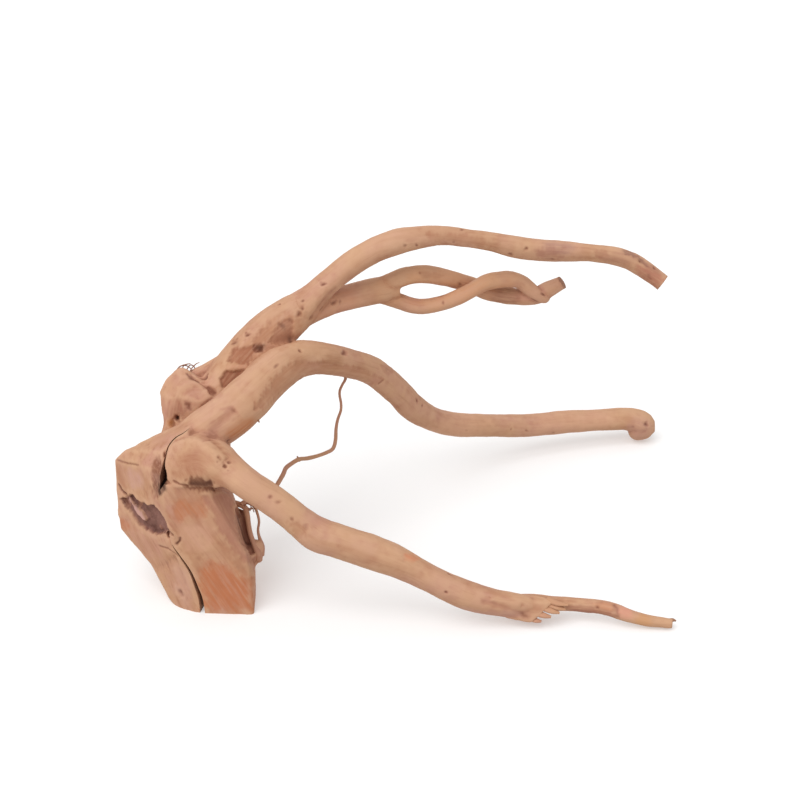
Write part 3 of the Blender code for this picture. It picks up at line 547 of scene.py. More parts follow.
SIDE_LOOP = [
    (12, 10, 70, 1.4), (25.5, 8, 72.8, 1.2), (30.6, 7, 69.7, 1.2), (32.9, 5, 64.5, 1.2),
    (34, 3, 58.4, 1.2), (33.1, 1, 52.3, 1.2), (34.4, -3, 47.3, 1.5), (36.5, -7, 42.4, 2.4),
    (35.6, -9, 35.4, 3),
]
TORN_SPLINTERS = [
    [(245.2, -55, 6.8, 2), (249.6, -58, 7, 1.9), (253.7, -59, 6.8, 0.9)],
    [(249, -53, 11, 2.4), (255.6, -57, 11, 2.2), (261, -58, 10.3, 1.1)],
    [(253.6, -51, 14.7, 2.4), (261.1, -55, 13.8, 2.2), (267.6, -56, 12.6, 1)],
    [(257.6, -49, 17.1, 2.4), (265.8, -53, 15.6, 2), (272.3, -54, 14.5, 0.9)],
    [(258.3, -48, 19.6, 2.6), (266.5, -52, 18.6, 2), (274.1, -53, 17.9, 1.1)],
]
HAIRS = [
    [(-34.9, 52, 161.5, 0.5), (-31.8, 54, 165.4, 0.5), (-28, 56, 166.6, 0.5), (-23.6, 58, 165.2, 0.4)],
    [(-31, 54, 165.8, 0.5), (-27.9, 56, 168.8, 0.5), (-23.3, 58, 169.6, 0.5), (-20, 60, 169.5, 0.3)],
    [(-26.5, 56, 165.7, 0.4), (-25, 58, 168.7, 0.5), (-21.4, 60, 166.4, 0.4), (-19.2, 60, 162.9, 0.4)],
    [(-23.4, 56, 164.8, 0.5), (-20.5, 60, 168.1, 0.5), (-17.7, 62, 165.9, 0.5), (-17.1, 62, 162.8, 0.4)],
    [(-20.8, 54, 164.1, 0.5), (-19.1, 60, 165.5, 0.5), (-16, 62, 168.1, 0.5), (-13.2, 62, 169.4, 0.3)],
    [(-18.2, 58, 163.9, 0.4), (-15.4, 62, 163.7, 0.4), (-12.4, 64, 164.9, 0.3)],
    [(23.3, -2, 76, 0.7), (26.8, -4, 79.9, 0.6), (29, -4, 77.2, 0.6), (27.8, -2, 71.4, 0.4)],
    [(24.6, 0, 73.9, 0.6), (28.2, 2, 70.9, 0.6), (31.3, 4, 72.4, 0.5), (32.8, 6, 74.9, 0.4)],
    [(25.6, -4, 71.7, 0.6), (29.3, 0, 73, 0.5), (30.4, 3, 67.6, 0.4)],
]
# The small spurs that stand off the limbs
SPURS = [
    [(32, 14, 148.5, 1.8), (35.2, 11, 145.8, 1.2), (37.1, 10, 143.3, 0.5)],
    [(63.4, 66, 78.3, 1.2), (61.9, 66, 81.1, 0.9), (61.1, 66, 82.9, 0.3)],
    [(351.9, -58, 6.6, 2), (354.9, -58, 7.5, 1.4), (357.3, -58, 6.6, 0.5)],
]

# Each piece of thin roots: middle lines, step along them in millimetres, sides, flattening, keel, darkness
THIN_ROOTS = {
    "rootlets": ([HANGING_ROOTLET, SIDE_ROOTLET, SIDE_LOOP], ROUTE_STEP, 10, 0.1, 0.0, 0.12),
    "torn_splinters": (TORN_SPLINTERS, 1.0, 10, 0.2, 0.15, 0.0),
    "hair_roots": (HAIRS + SPURS, 1.0, 6, 0.0, 0.0, 0.45),
}
THIN_WAVER = 0.5


def smooth_route(points, step=ROUTE_STEP):
    """Rows of x, y, z and radius every few millimetres along a curve through the points."""
    knots = [np.array(point, float) for point in points]
    knots.insert(0, 2 * knots[0] - knots[1])
    knots.append(2 * knots[-1] - knots[-2])
    route = []
    for before, start, end, after in zip(knots, knots[1:], knots[2:], knots[3:]):
        count = max(1, round(np.linalg.norm((end - start)[:3]) / step))
        for part in range(count):
            t = part / count
            bend = (2 * before - 5 * start + 4 * end - after) * t**2
            twist = (3 * start - before - 3 * end + after) * t**3
            route.append(0.5 * (2 * start + (end - before) * t + bend + twist))
    route.append(knots[-2])
    return np.array(route)


def rounded(route):
    """The route with its far end drawn in to a rounded tip."""
    along = route[-1, :3] - route[-2, :3]
    along = along / np.linalg.norm(along)
    tip = []
    for angle in np.radians(TIP_ANGLES):
        middle = route[-1, :3] + along * route[-1, 3] * math.sin(angle)
        tip.append([*middle, route[-1, 3] * math.cos(angle)])
    return np.vstack([route, tip])


def limb_routes():
    """Each limb's route, with a rounded tip where the limb has one."""
    routes = {name: smooth_route(points) for name, points in LIMBS.items()}
    return [rounded(route) if name in ROUNDED_TIPS else route for name, route in routes.items()]


def put(tree, kind, inputs=None, **settings):
    """A new node with its settings and its inputs, each a number or another node's output."""
    node = tree.nodes.new(kind)
    for name, value in settings.items():
        setattr(node, name, value)
    for socket, value in (inputs or {}).items():
        if isinstance(value, bpy.types.NodeSocket):
            tree.links.new(value, node.inputs[socket])
        else:
            node.inputs[socket].default_value = value
    return node


def math_node(tree, operation, *values):
    """The result of one Math node."""
    return put(tree, "ShaderNodeMath", dict(enumerate(values)), operation=operation).outputs[0]


def vector_node(tree, operation, *values):
    """One Vector Math node."""
    return put(tree, "ShaderNodeVectorMath", dict(enumerate(values)), operation=operation)


def noise(tree, vector, scale, detail, roughness):
    """Soft random values about 0.5."""
    return put(tree, "ShaderNodeTexNoise", {
        "Vector": vector, "Scale": scale, "Detail": detail, "Roughness": roughness,
    }).outputs[0]


def mapped(tree, value, low, high, new_low=0.0, new_high=1.0):
    """A value taken smoothly from one range to another."""
    node = put(tree, "ShaderNodeMapRange", {
        0: value, 1: low, 2: high, 3: new_low, 4: new_high,
    }, interpolation_type="SMOOTHSTEP", clamp=True)
    return node.outputs[0]


def mixed(tree, factor, first, second):
    """Two colours mixed."""
    return put(tree, "ShaderNodeMix", {0: factor, 6: first, 7: second}, data_type="RGBA").outputs[2]


def blended(tree, factor, first, second):
    """Two numbers mixed."""
    return put(tree, "ShaderNodeMix", {0: factor, 2: first, 3: second}, data_type="FLOAT").outputs[0]


def colour(red, green, blue):
    """A screen colour, 0 to 255, as the shader wants it."""
    values = []
    for part in (red, green, blue):
        part = part / 255
        values.append(part / 12.92 if part <= 0.04045 else ((part + 0.055) / 1.055) ** 2.4)
    return (*values, 1.0)


def new_tree(name, sizes):
    """A Geometry Nodes tree with a mesh in and out and named inputs with their first values."""
    tree = bpy.data.node_groups.new(name, "GeometryNodeTree")
    tree.interface.new_socket("Geometry", in_out="INPUT", socket_type="NodeSocketGeometry")
    tree.interface.new_socket("Geometry", in_out="OUTPUT", socket_type="NodeSocketGeometry")
    for label, value in sizes.items():
        if isinstance(value, bpy.types.Material):
            kind = "NodeSocketMaterial"
        elif isinstance(value, int):
            kind = "NodeSocketInt"
        else:
            kind = "NodeSocketFloat"
        socket = tree.interface.new_socket(label, in_out="INPUT", socket_type=kind)
        socket.default_value = value
    return tree, tree.nodes.new("NodeGroupInput").outputs


def close_tree(tree, given, mesh):
    """End a tree: instances made real, and the material of the input named Wood."""
    real = put(tree, "GeometryNodeRealizeInstances", {0: mesh})
    dressed = put(tree, "GeometryNodeSetMaterial", {0: real.outputs[0], 2: given["Wood"]})
    put(tree, "NodeGroupOutput", {0: dressed.outputs[0]})


def limb_tree(wood):
    """Grows a limb along each chain of edges, as thick as its points say, with flattened sides."""
    tree, given = new_tree("grown_limb", {
        "Sides": LIMB_SIDES, "Flattening": 0.05, "Keel": 0.03, "Turn": 9.0, "Waver": 0.10,
        "Waver Scale": 38.0, "Seed": 1, "Wood": wood,
    })
    place = put(tree, "GeometryNodeInputPosition").outputs[0]
    curve = put(tree, "GeometryNodeMeshToCurve", {0: given["Geometry"]})
    middle = put(tree, "GeometryNodeCaptureAttribute", {0: curve.outputs[0]})
    middle.capture_items.new("VECTOR", "middle")
    middle.capture_items.new("FLOAT", "along")
    tree.links.new(place, middle.inputs["middle"])
    tree.links.new(put(tree, "GeometryNodeSplineParameter").outputs["Length"], middle.inputs["along"])
    ring = put(tree, "GeometryNodeCurvePrimitiveCircle", {"Radius": 1.0, "Resolution": given["Sides"]})
    profile = put(tree, "GeometryNodeCaptureAttribute", {0: ring.outputs[0]})
    profile.capture_items.new("FLOAT", "around")
    tree.links.new(put(tree, "GeometryNodeSplineParameter").outputs["Factor"], profile.inputs["around"])
    thickness = put(tree, "GeometryNodeInputNamedAttribute", {"Name": "thickness"}, data_type="FLOAT")
    skin = put(tree, "GeometryNodeCurveToMesh", {
        "Curve": middle.outputs[0], "Profile Curve": profile.outputs[0],
        "Scale": thickness.outputs[0], "Fill Caps": True,
    })
    angle = math_node(tree, "MULTIPLY", profile.outputs["around"], math.tau)
    turn = math_node(tree, "MULTIPLY", middle.outputs["along"], given["Turn"])
    back_turn = math_node(tree, "MULTIPLY", turn, -1.7)
    flat = math_node(tree, "COSINE", math_node(tree, "MULTIPLY_ADD", angle, 2.0, turn))
    keel = math_node(tree, "COSINE", math_node(tree, "MULTIPLY_ADD", angle, 3.0, back_turn))
    grown = math_node(tree, "MULTIPLY", flat, given["Flattening"])
    grown = math_node(tree, "MULTIPLY_ADD", keel, given["Keel"], grown)
    waver = put(tree, "ShaderNodeTexNoise", {
        "Vector": place, "W": given["Seed"], "Scale": given["Waver Scale"], "Detail": 1.0,
    }, noise_dimensions="4D")
    centred = math_node(tree, "SUBTRACT", waver.outputs[0], 0.5)
    grown = math_node(tree, "MULTIPLY_ADD", centred, given["Waver"], grown)
    outward = vector_node(tree, "SUBTRACT", place, middle.outputs["middle"]).outputs[0]
    offset = put(tree, "ShaderNodeVectorMath", {0: outward, "Scale": grown}, operation="SCALE")
    moved = put(tree, "GeometryNodeSetPosition", {0: skin.outputs[0], "Offset": offset.outputs[0]})
    close_tree(tree, given, moved.outputs[0])
    return tree


def set_inputs(modifier, values):
    """Set a Geometry Nodes modifier's named inputs, by their sockets' identifiers."""
    for item in modifier.node_group.interface.items_tree:
        if item.in_out == "INPUT" and item.name in values:
            modifier[item.identifier] = values[item.name]


def settled(piece):
    """The piece as a plain mesh, with its modifiers applied and taken off."""
    evaluated = piece.evaluated_get(bpy.context.evaluated_depsgraph_get())
    mesh = bpy.data.meshes.new_from_object(evaluated)
    piece.modifiers.clear()
    old = piece.data
    piece.data = mesh
    bpy.data.meshes.remove(old)
    return piece


def new_piece(name, data):
    """A new object with the data, in the scene."""
    piece = bpy.data.objects.new(name, data)
    bpy.context.scene.collection.objects.link(piece)
    return piece


def built(name, bm):
    """A new piece with the faces of a bmesh, which is used up."""
    mesh = bpy.data.meshes.new(name)
    bm.to_mesh(mesh)
    bm.free()
    return new_piece(name, mesh)


def grow(name, routes, tree, **sizes):
    """One mesh with a limb along each route."""
    mesh = bpy.data.meshes.new(name)
    rows = np.vstack(routes)
    edges = []
    start = 0
    for route in routes:
        edges += [(k, k + 1) for k in range(start, start + len(route) - 1)]
        start += len(route)
    mesh.from_pydata((rows[:, :3] * MM).tolist(), edges, [])
    thickness = mesh.attributes.new("thickness", "FLOAT", "POINT")
    thickness.data.foreach_set("value", rows[:, 3] * MM)
    piece = new_piece(name, mesh)
    modifier = piece.modifiers.new("grown_limb", "NODES")
    modifier.node_group = tree
    set_inputs(modifier, sizes)
    return settled(piece)


def lump(name, corners):
    """A lump of wood with flat split faces between its corners."""
    bm = bmesh.new()
    for corner in corners:
        bm.verts.new(Vector(corner) * MM)
    bmesh.ops.convex_hull(bm, input=bm.verts)
    return built(name, bm)


def joined(name, pieces):
    """One piece with the faces of all the pieces, turned outward."""
    bm = bmesh.new()
    for piece in pieces:
        bm.from_mesh(piece.data)
        bpy.data.objects.remove(piece)
    bmesh.ops.recalc_face_normals(bm, faces=bm.faces)
    return built(name, bm)


def places(mesh):
    """The mesh's points in millimetres, one row each."""
    flat = np.empty(len(mesh.vertices) * 3)
    mesh.vertices.foreach_get("co", flat)
    return flat.reshape(-1, 3) / MM


def set_places(mesh, points):
    """Move the mesh's points to the rows, in millimetres."""
    mesh.vertices.foreach_set("co", (points * MM).ravel())
    mesh.update()


def normals(mesh):
    """The way out of the wood at each point."""
    flat = np.empty(len(mesh.vertices) * 3)
    mesh.vertex_normals.foreach_get("vector", flat)
    return flat.reshape(-1, 3)


def edge_ends(mesh):
    """The two points of each edge."""
    flat = np.empty(len(mesh.edges) * 2, dtype=np.int64)
    mesh.edges.foreach_get("vertices", flat)
    return flat.reshape(-1, 2)


def paint(mesh, layers):
    """Store one number or one vector for each point of the mesh, under each name."""
    for name, values in layers.items():
        kind = "FLOAT" if values.ndim == 1 else "FLOAT_VECTOR"
        layer = mesh.attributes.new(name, kind, "POINT")
        layer.data.foreach_set("value" if kind == "FLOAT" else "vector", values.astype(np.float32).ravel())


def neighbour_mean(values, ends, count):
    """For each point, the mean of the values at its neighbours."""
    ways = np.bincount(ends.ravel(), minlength=count)
    total = np.zeros_like(values)
    for column in range(values.shape[1]):
        total[:, column] += np.bincount(ends[:, 0], values[ends[:, 1], column], count)
        total[:, column] += np.bincount(ends[:, 1], values[ends[:, 0], column], count)
    return total / np.maximum(ways, 1)[:, None]


def relax(points, ends, weight, passes):
    """Soften the surface where the weight is high."""
    for _ in range(passes):
        mean = neighbour_mean(points, ends, len(points))
        points = points + (mean - points) * weight[:, None]
    return points


def smooth_step(low, high, values):
    """A smooth rise from 0 at the low value to 1 at the high one."""
    t = np.clip((values - low) / (high - low), 0, 1)
    return t * t * (3 - 2 * t)


def hollowness(points, ends, way, passes):
    """How far each point lies below (above 0) or above (below 0) the mean of those around it, in mm."""
    mean = points.copy()
    for _ in range(passes):
        mean = 0.5 * mean + 0.5 * neighbour_mean(mean, ends, len(points))
    return ((mean - points) * way).sum(1)


def from_middle(points, middle, reach):
    """Each point's distance from a middle, counted in the reach along x, y and z."""
    return np.linalg.norm((points - np.array(middle)) / np.array(reach), axis=1)


def point_tree(points):
    """A search tree of the points, by their rows."""
    tree = KDTree(len(points))
    for row, place in enumerate(points):
        tree.insert(place, row)
    tree.balance()
    return tree


class Grain:
    """Which limb each point belongs to, and where it lies along and across that limb's fibre."""

    def __init__(self, routes):
        self.routes = routes
        self.trees, self.along, self.ways, self.across = [], [], [], []
        for k, route in enumerate(routes):
            steps = np.linalg.norm(np.diff(route[:, :3], axis=0), axis=1)
            self.along.append(np.concatenate([[0], np.cumsum(steps)]) + LIMB_APART * k)
            ways = np.gradient(route[:, :3], axis=0)
            ways /= np.linalg.norm(ways, axis=1)[:, None]
            self.ways.append(ways)
            side = np.cross(ways[0], FIRST_SIDE)
            sides = []
            for way in ways:
                side = side - way * side.dot(way)
                side = side / np.linalg.norm(side)
                sides.append(side)
            self.across.append(np.array(sides))
            self.trees.append(point_tree(route[:, :3]))

    def at(self, points):
        """The fibre's coordinates at each point, and its distance from the nearest limb's surface."""
        best = np.full(len(points), np.inf)
        fibre = np.zeros((len(points), 3))
        for k, route in enumerate(self.routes):
            reach = route[:, 3].max() + LIMB_NEAR
            low, high = route[:, :3].min(0) - reach, route[:, :3].max(0) + reach
            near = np.nonzero(((points > low) & (points < high)).all(1))[0]
            rows = np.array([self.trees[k].find(point)[1] for point in points[near]], dtype=np.int64)
            out = points[near] - route[rows, :3]
            gap = np.linalg.norm(out, axis=1) - route[rows, 3]
            closer = gap < best[near]
            near, rows, out = near[closer], rows[closer], out[closer]
            best[near] = gap[closer]
            ways, across = self.ways[k][rows], self.across[k][rows]
            fibre[near, 0] = self.along[k][rows] + (out * ways).sum(1)
            fibre[near, 1] = (out * across).sum(1)
            fibre[near, 2] = (out * np.cross(ways, across)).sum(1)
        return fibre, best


def block_fibre(points):
    """Where each point lies along and across the sawn block's fibre, in millimetres."""
    along = np.array(BLOCK_FIBRE)
    across = np.cross(along, (0.0, 1.0, 0.0))
    across /= np.linalg.norm(across)
    inward = np.cross(along, across)
    return points @ np.stack([along, across, inward], axis=1)


def ripple(points, length, seed):
    """A soft random swell, about -1 to 1, with waves of about the given length in millimetres."""
    draw = np.random.default_rng(seed)
    total = np.zeros(len(points))
    for _ in range(RIPPLE_WAVES):
        way = draw.normal(size=3)
        way *= draw.uniform(*RIPPLE_SPREAD) * math.tau / length / np.linalg.norm(way)
        total += np.sin(points @ way + draw.uniform(0, math.tau))
    return total / math.sqrt(RIPPLE_WAVES)


def rippled(points, ripples):
    """Swells added up: the share, length and seed of each."""
    return sum(share * ripple(points, length, seed) for share, length, seed in ripples)


def snapped(surface, line):
    """The line's points every few millimetres, each moved to the wood's surface."""
    dense = []
    for start, end in zip(line, line[1:]):
        start, end = np.array(start, float), np.array(end, float)
        count = max(1, round(np.linalg.norm(end - start) / LINE_STEP))
        dense += [start + (end - start) * k / count for k in range(count)]
    dense.append(np.array(line[-1], float))
    return np.array([surface.find_nearest(place)[0] for place in dense])


def to_segment(points, start, end):
    """Each point's distance from the straight line between two others, and how far along it is, 0 to 1."""
    way = end - start
    t = np.clip(((points - start) @ way) / max(way.dot(way), 1e-9), 0, 1)
    return np.linalg.norm(points - start - t[:, None] * way, axis=1), t


def line_distance(points, line):
    """Each point's distance from the line, and how far along the line it is, from 0 to 1."""
    best = np.full(len(points), np.inf)
    share = np.zeros(len(points))
    low, high = line.min(0) - LINE_NEAR, line.max(0) + LINE_NEAR
    near = np.nonzero(((points > low) & (points < high)).all(1))[0]
    local = points[near]
    for k, (start, end) in enumerate(zip(line, line[1:])):
        distance, t = to_segment(local, start, end)
        closer = distance < best[near]
        best[near[closer]] = distance[closer]
        share[near[closer]] = (k + t[closer]) / (len(line) - 1)
    return best, share


def patch_form(points, way, corners, edge):
    """How far each point is inside the patch, from 0 to 1, seen square on from the front."""
    corners = np.array(corners, float)
    outline = np.stack([corners[:, 0], corners @ PATCH_UP], axis=1)
    flat = np.stack([points[:, 0], points @ PATCH_UP], axis=1)
    low, high = outline.min(0) - PATCH_MARGIN, outline.max(0) + PATCH_MARGIN
    forward = corners @ PATCH_FRONT
    nearness = points @ PATCH_FRONT
    near = ((flat > low) & (flat < high)).all(1) & (way @ PATCH_FRONT > PATCH_FACING)
    near &= (nearness > forward.min() - PATCH_REACH) & (nearness < forward.max() + PATCH_REACH)
    near = np.nonzero(near)[0]
    local = flat[near]
    gap = np.full(len(near), np.inf)
    inside = np.zeros(len(near), bool)
    for start, end in zip(outline, np.roll(outline, -1, axis=0)):
        gap = np.minimum(gap, to_segment(local, start, end)[0])
        crossing = (start[1] > local[:, 1]) != (end[1] > local[:, 1])
        rise = np.where(end[1] == start[1], 1e-9, end[1] - start[1])
        inside ^= crossing & (local[:, 0] < start[0] + (local[:, 1] - start[1]) * (end - start)[0] / rise)
    gap = np.where(inside, gap, -gap)
    gap += edge * rippled(points[near], EDGE_RIPPLES)
    form = np.zeros(len(points))
    form[near] = smooth_step(-0.5 * edge, 0.5 * edge, gap)
    return form


def creased(points, surface):
    """How deep the creases are at each point, in millimetres, and how dark their painted shade is."""
    depth, dark = np.zeros(len(points)), np.zeros(len(points))
    swell = 1 + rippled(points, CREASE_RIPPLES)
    for half_width, deep, stain_and_shade, line in CREASES:
        distance, share = line_distance(points, snapped(surface, line))
        distance = distance * swell
        fade = smooth_step(0, CREASE_FADE, share) * smooth_step(0, CREASE_FADE, 1 - share)
        form = np.exp(-((distance / half_width) ** 2)) * np.sqrt(fade)
        depth += deep * form
        dark = np.maximum(dark, form * stain_and_shade)
    return depth, dark


def pit(points, draw, swell, middle, half_width, deep):
    """How deep a pit is at each point, with its raised rim, and its form from 0 to 1."""
    offset = points - middle
    long_way = draw.normal(size=3)
    long_way /= np.linalg.norm(long_way)
    offset -= (1 - draw.uniform(*PIT_ROUND)) * (offset @ long_way)[:, None] * long_way
    distance = np.linalg.norm(offset, axis=1) * swell
    form = np.exp(-((distance / half_width) ** 2))
    rim = np.exp(-(((distance - RIM_PLACE * half_width) / (RIM_WIDTH * half_width)) ** 2))
    return deep * form - RIM_HEIGHT * min(deep, RIM_DEEPEST) * rim, form


def carved(points, way, surface):
    """How deep each point is pressed in, in millimetres, how dark it is there with painted shade in its
    creases and pits, and how torn the wood is.
    """
    depth, dark = creased(points, surface)
    torn = np.zeros(len(points))
    swell = 1 + rippled(points, PIT_RIPPLES)
    draw = np.random.default_rng(PIT_SEED)
    for x, y, z, half_width, deep in PITS:
        middle = np.array(surface.find_nearest((x, y, z))[0])
        dip, form = pit(points, draw, swell, middle, half_width, deep)
        depth += dip
        # Pits darker the deeper they go: their own darker colour with painted shade
        dark = np.maximum(dark, form * min(1, PIT_DARK + deep / PIT_BLACK))
    for deep, edge, rough, _, _, corners in PATCHES:
        form = patch_form(points, way, corners, edge)
        depth += (deep - depth) * form
        torn += (rough - torn) * form
    return depth, dark, torn


def layered(hue, strength, form, shade):
    """The colour and its strength at each point, with one more layer laid over them: one of the stains, or a
    painted shade.
    """
    total = strength + form * (1 - strength)
    share = np.divide(form, total, out=np.zeros_like(form), where=total > 0)
    return hue + (np.array(colour(*shade)[:3]) - hue) * share[:, None], total


def stained_and_shaded(points, way):
    """The colour of the stains and of the painted shade at each point, and how strong it is."""
    hue, strength = np.zeros((len(points), 3)), np.zeros(len(points))
    wander = rippled(points, STAIN_AND_SHADE_RIPPLES)
    for middle, reach, shade, strong in STAINS_AND_SHADE:
        distance = from_middle(points, middle, reach) + STAIN_AND_SHADE_WANDER * wander
        form = strong * (1 - smooth_step(*STAIN_AND_SHADE_EDGE, distance))
        hue, strength = layered(hue, strength, form, shade)
    for _, edge, _, shade, strong, corners in PATCHES:
        form = strong * patch_form(points, way, corners, PATCH_FEATHER * edge)
        hue, strength = layered(hue, strength, form, shade)
    return hue, strength


def relief_tree(wood):
    """The fibre, swells, splits and pits that stand on the wood, measured in its grain."""
    tree, given = new_tree("wood_relief", {
        "Fibre Depth": 0.22 * MM, "Fibre Spacing": 2.6, "Fibre Length": 34.0, "Swell Depth": 1.1 * MM,
        "Swell Scale": 55.0, "Split Depth": 1.1 * MM, "Torn Depth": 2.2 * MM, "Torn Scale": 330.0,
        "Pit Depth": 0.5 * MM, "Pit Spacing": 13.0, "Pit Share": 0.2, "Wood": wood,
    })

    def times(first, second):
        return math_node(tree, "MULTIPLY", first, second)

    def centred(vector, scale, detail, roughness):
        """Noise about 0."""
        return math_node(tree, "SUBTRACT", noise(tree, vector, scale, detail, roughness), 0.5)

    def raised(height, form, depth):
        """The height with a form laid on it, as deep as given."""
        return math_node(tree, "MULTIPLY_ADD", form, depth, height)

    def named(name, kind):
        node = put(tree, "GeometryNodeInputNamedAttribute", {"Name": name}, data_type=kind)
        return node.outputs["Attribute"]

    def drawn_out(name, spacing, length):
        """Coordinates along the grain that change once in the given spacing and length."""
        across = math_node(tree, "DIVIDE", 1.0, spacing)
        along = math_node(tree, "DIVIDE", 1.0, length)
        scale = put(tree, "ShaderNodeCombineXYZ", {0: along, 1: across, 2: across}).outputs[0]
        return vector_node(tree, "MULTIPLY", named(name, "FLOAT_VECTOR"), scale).outputs[0]

    place = put(tree, "GeometryNodeInputPosition").outputs[0]
    block, torn = named("block", "FLOAT"), named("torn", "FLOAT")
    spacing, length = given["Fibre Spacing"], given["Fibre Length"]
    swell_depth, swell_scale = given["Swell Depth"], given["Swell Scale"]
    limb_fibre = centred(drawn_out("grain", spacing, length), 1.0, 3.0, 0.55)
    split_place = drawn_out("block_grain", times(spacing, 3.2), times(length, 1.6))
    split = times(centred(split_place, 1.0, 4.0, 0.6), given["Split Depth"])
    height = blended(tree, block, times(limb_fibre, given["Fibre Depth"]), split)
    height = raised(height, centred(place, swell_scale, 2.0, 0.5), swell_depth)
    height = raised(height, centred(place, times(swell_scale, 2.6), 2.0, 0.5), times(swell_depth, 0.35))
    height = raised(height, centred(place, given["Torn Scale"], 3.0, 0.6), times(torn, given["Torn Depth"]))

    pit_place = drawn_out("grain", given["Pit Spacing"], times(given["Pit Spacing"], 2.2))
    cells = put(tree, "ShaderNodeTexVoronoi", {"Vector": pit_place, "Scale": 1.0}).outputs
    chance = put(tree, "ShaderNodeSeparateXYZ", {0: cells["Color"]}).outputs[0]
    chosen = math_node(tree, "LESS_THAN", chance, given["Pit Share"])
    dip = put(tree, "ShaderNodeMapRange", {0: cells["Distance"], 1: 0.03, 2: 0.13, 3: 1.0, 4: 0.0}).outputs[0]
    dip = times(times(dip, chosen), math_node(tree, "SUBTRACT", 1.0, block))
    height = raised(height, times(dip, -1.0), given["Pit Depth"])
    normal = put(tree, "GeometryNodeInputNormal").outputs[0]
    offset = put(tree, "ShaderNodeVectorMath", {0: normal, "Scale": height}, operation="SCALE").outputs[0]
    moved = put(tree, "GeometryNodeSetPosition", {0: given["Geometry"], "Offset": offset}).outputs[0]
    marked = put(tree, "GeometryNodeStoreNamedAttribute", {
        0: moved, "Name": "pitted", "Value": dip,
    }, data_type="FLOAT", domain="POINT")
    close_tree(tree, given, marked.outputs[0])
    return tree


def saw(name, point, away, reach):
    """A block whose near face is the saw's cut."""
    turn = Vector(away).to_track_quat("Z", "Y").to_matrix()
    bm = bmesh.new()
    bmesh.ops.create_cube(bm, size=2 * reach * MM)
    for vert in bm.verts:
        vert.co = turn @ vert.co + Vector(point) * MM + Vector(away).normalized() * reach * MM
    return built(name, bm)


def split_cutter(name, points):
    """A wedge along a split: open past the surface and narrowing inward."""
    bm = bmesh.new()
    rings = []
    points = smooth_route(points, LINE_STEP)
    for k, (x, y, z, half_width, depth) in enumerate(points):
        before, after = points[max(k - 1, 0)], points[min(k + 1, len(points) - 1)]
        along = Vector(after[:3]) - Vector(before[:3])
        half = along.cross(SPLIT_INWARD).normalized() * half_width
        outside = Vector((x, y, z)) - SPLIT_INWARD * SPLIT_OUTSIDE
        inside = Vector((x, y, z)) + SPLIT_INWARD * depth
        mouth = (outside - half * SPLIT_MOUTH, outside + half * SPLIT_MOUTH)
        bottom = (inside + half * SPLIT_BOTTOM, inside - half * SPLIT_BOTTOM)
        rings.append([bm.verts.new(corner * MM) for corner in mouth + bottom])
    for low, high in zip(rings, rings[1:]):
        for k in range(4):
            bm.faces.new((low[k], low[(k + 1) % 4], high[(k + 1) % 4], high[k]))
    bm.faces.new(rings[0])
    bm.faces.new(rings[-1])
    bmesh.ops.recalc_face_normals(bm, faces=bm.faces)
    return built(name, bm)


def cut(piece, cutter):
    """Cut the piece with a cutter, which is used up."""
    boolean = piece.modifiers.new("cut", "BOOLEAN")
    boolean.operation = "DIFFERENCE"
    boolean.solver = "EXACT"
    boolean.object = cutter
    settled(piece)
    bpy.data.objects.remove(cutter)


def attribute(tree, name):
    """The node that reads a painted layer."""
    return put(tree, "ShaderNodeAttribute", attribute_name=name)


def factored(tree, name, share):
    """The named attribute times a share."""
    return math_node(tree, "MULTIPLY", attribute(tree, name).outputs["Fac"], share)


def fibre_noise(tree, along, across, detail, roughness, distortion=0.0):
    """Noise drawn out along the fibre of the limbs and of the sawn block, mixed where they meet."""
    values = []
    for name in ("grain", "block_grain"):
        coordinates = attribute(tree, name).outputs["Vector"]
        scaled = vector_node(tree, "MULTIPLY", coordinates, (along, across, across))
        values.append(put(tree, "ShaderNodeTexNoise", {
            "Vector": scaled.outputs[0], "Scale": 1.0, "Detail": detail, "Roughness": roughness,
            "Distortion": distortion,
        }).outputs[0])
    return blended(tree, attribute(tree, "block").outputs["Fac"], *values)


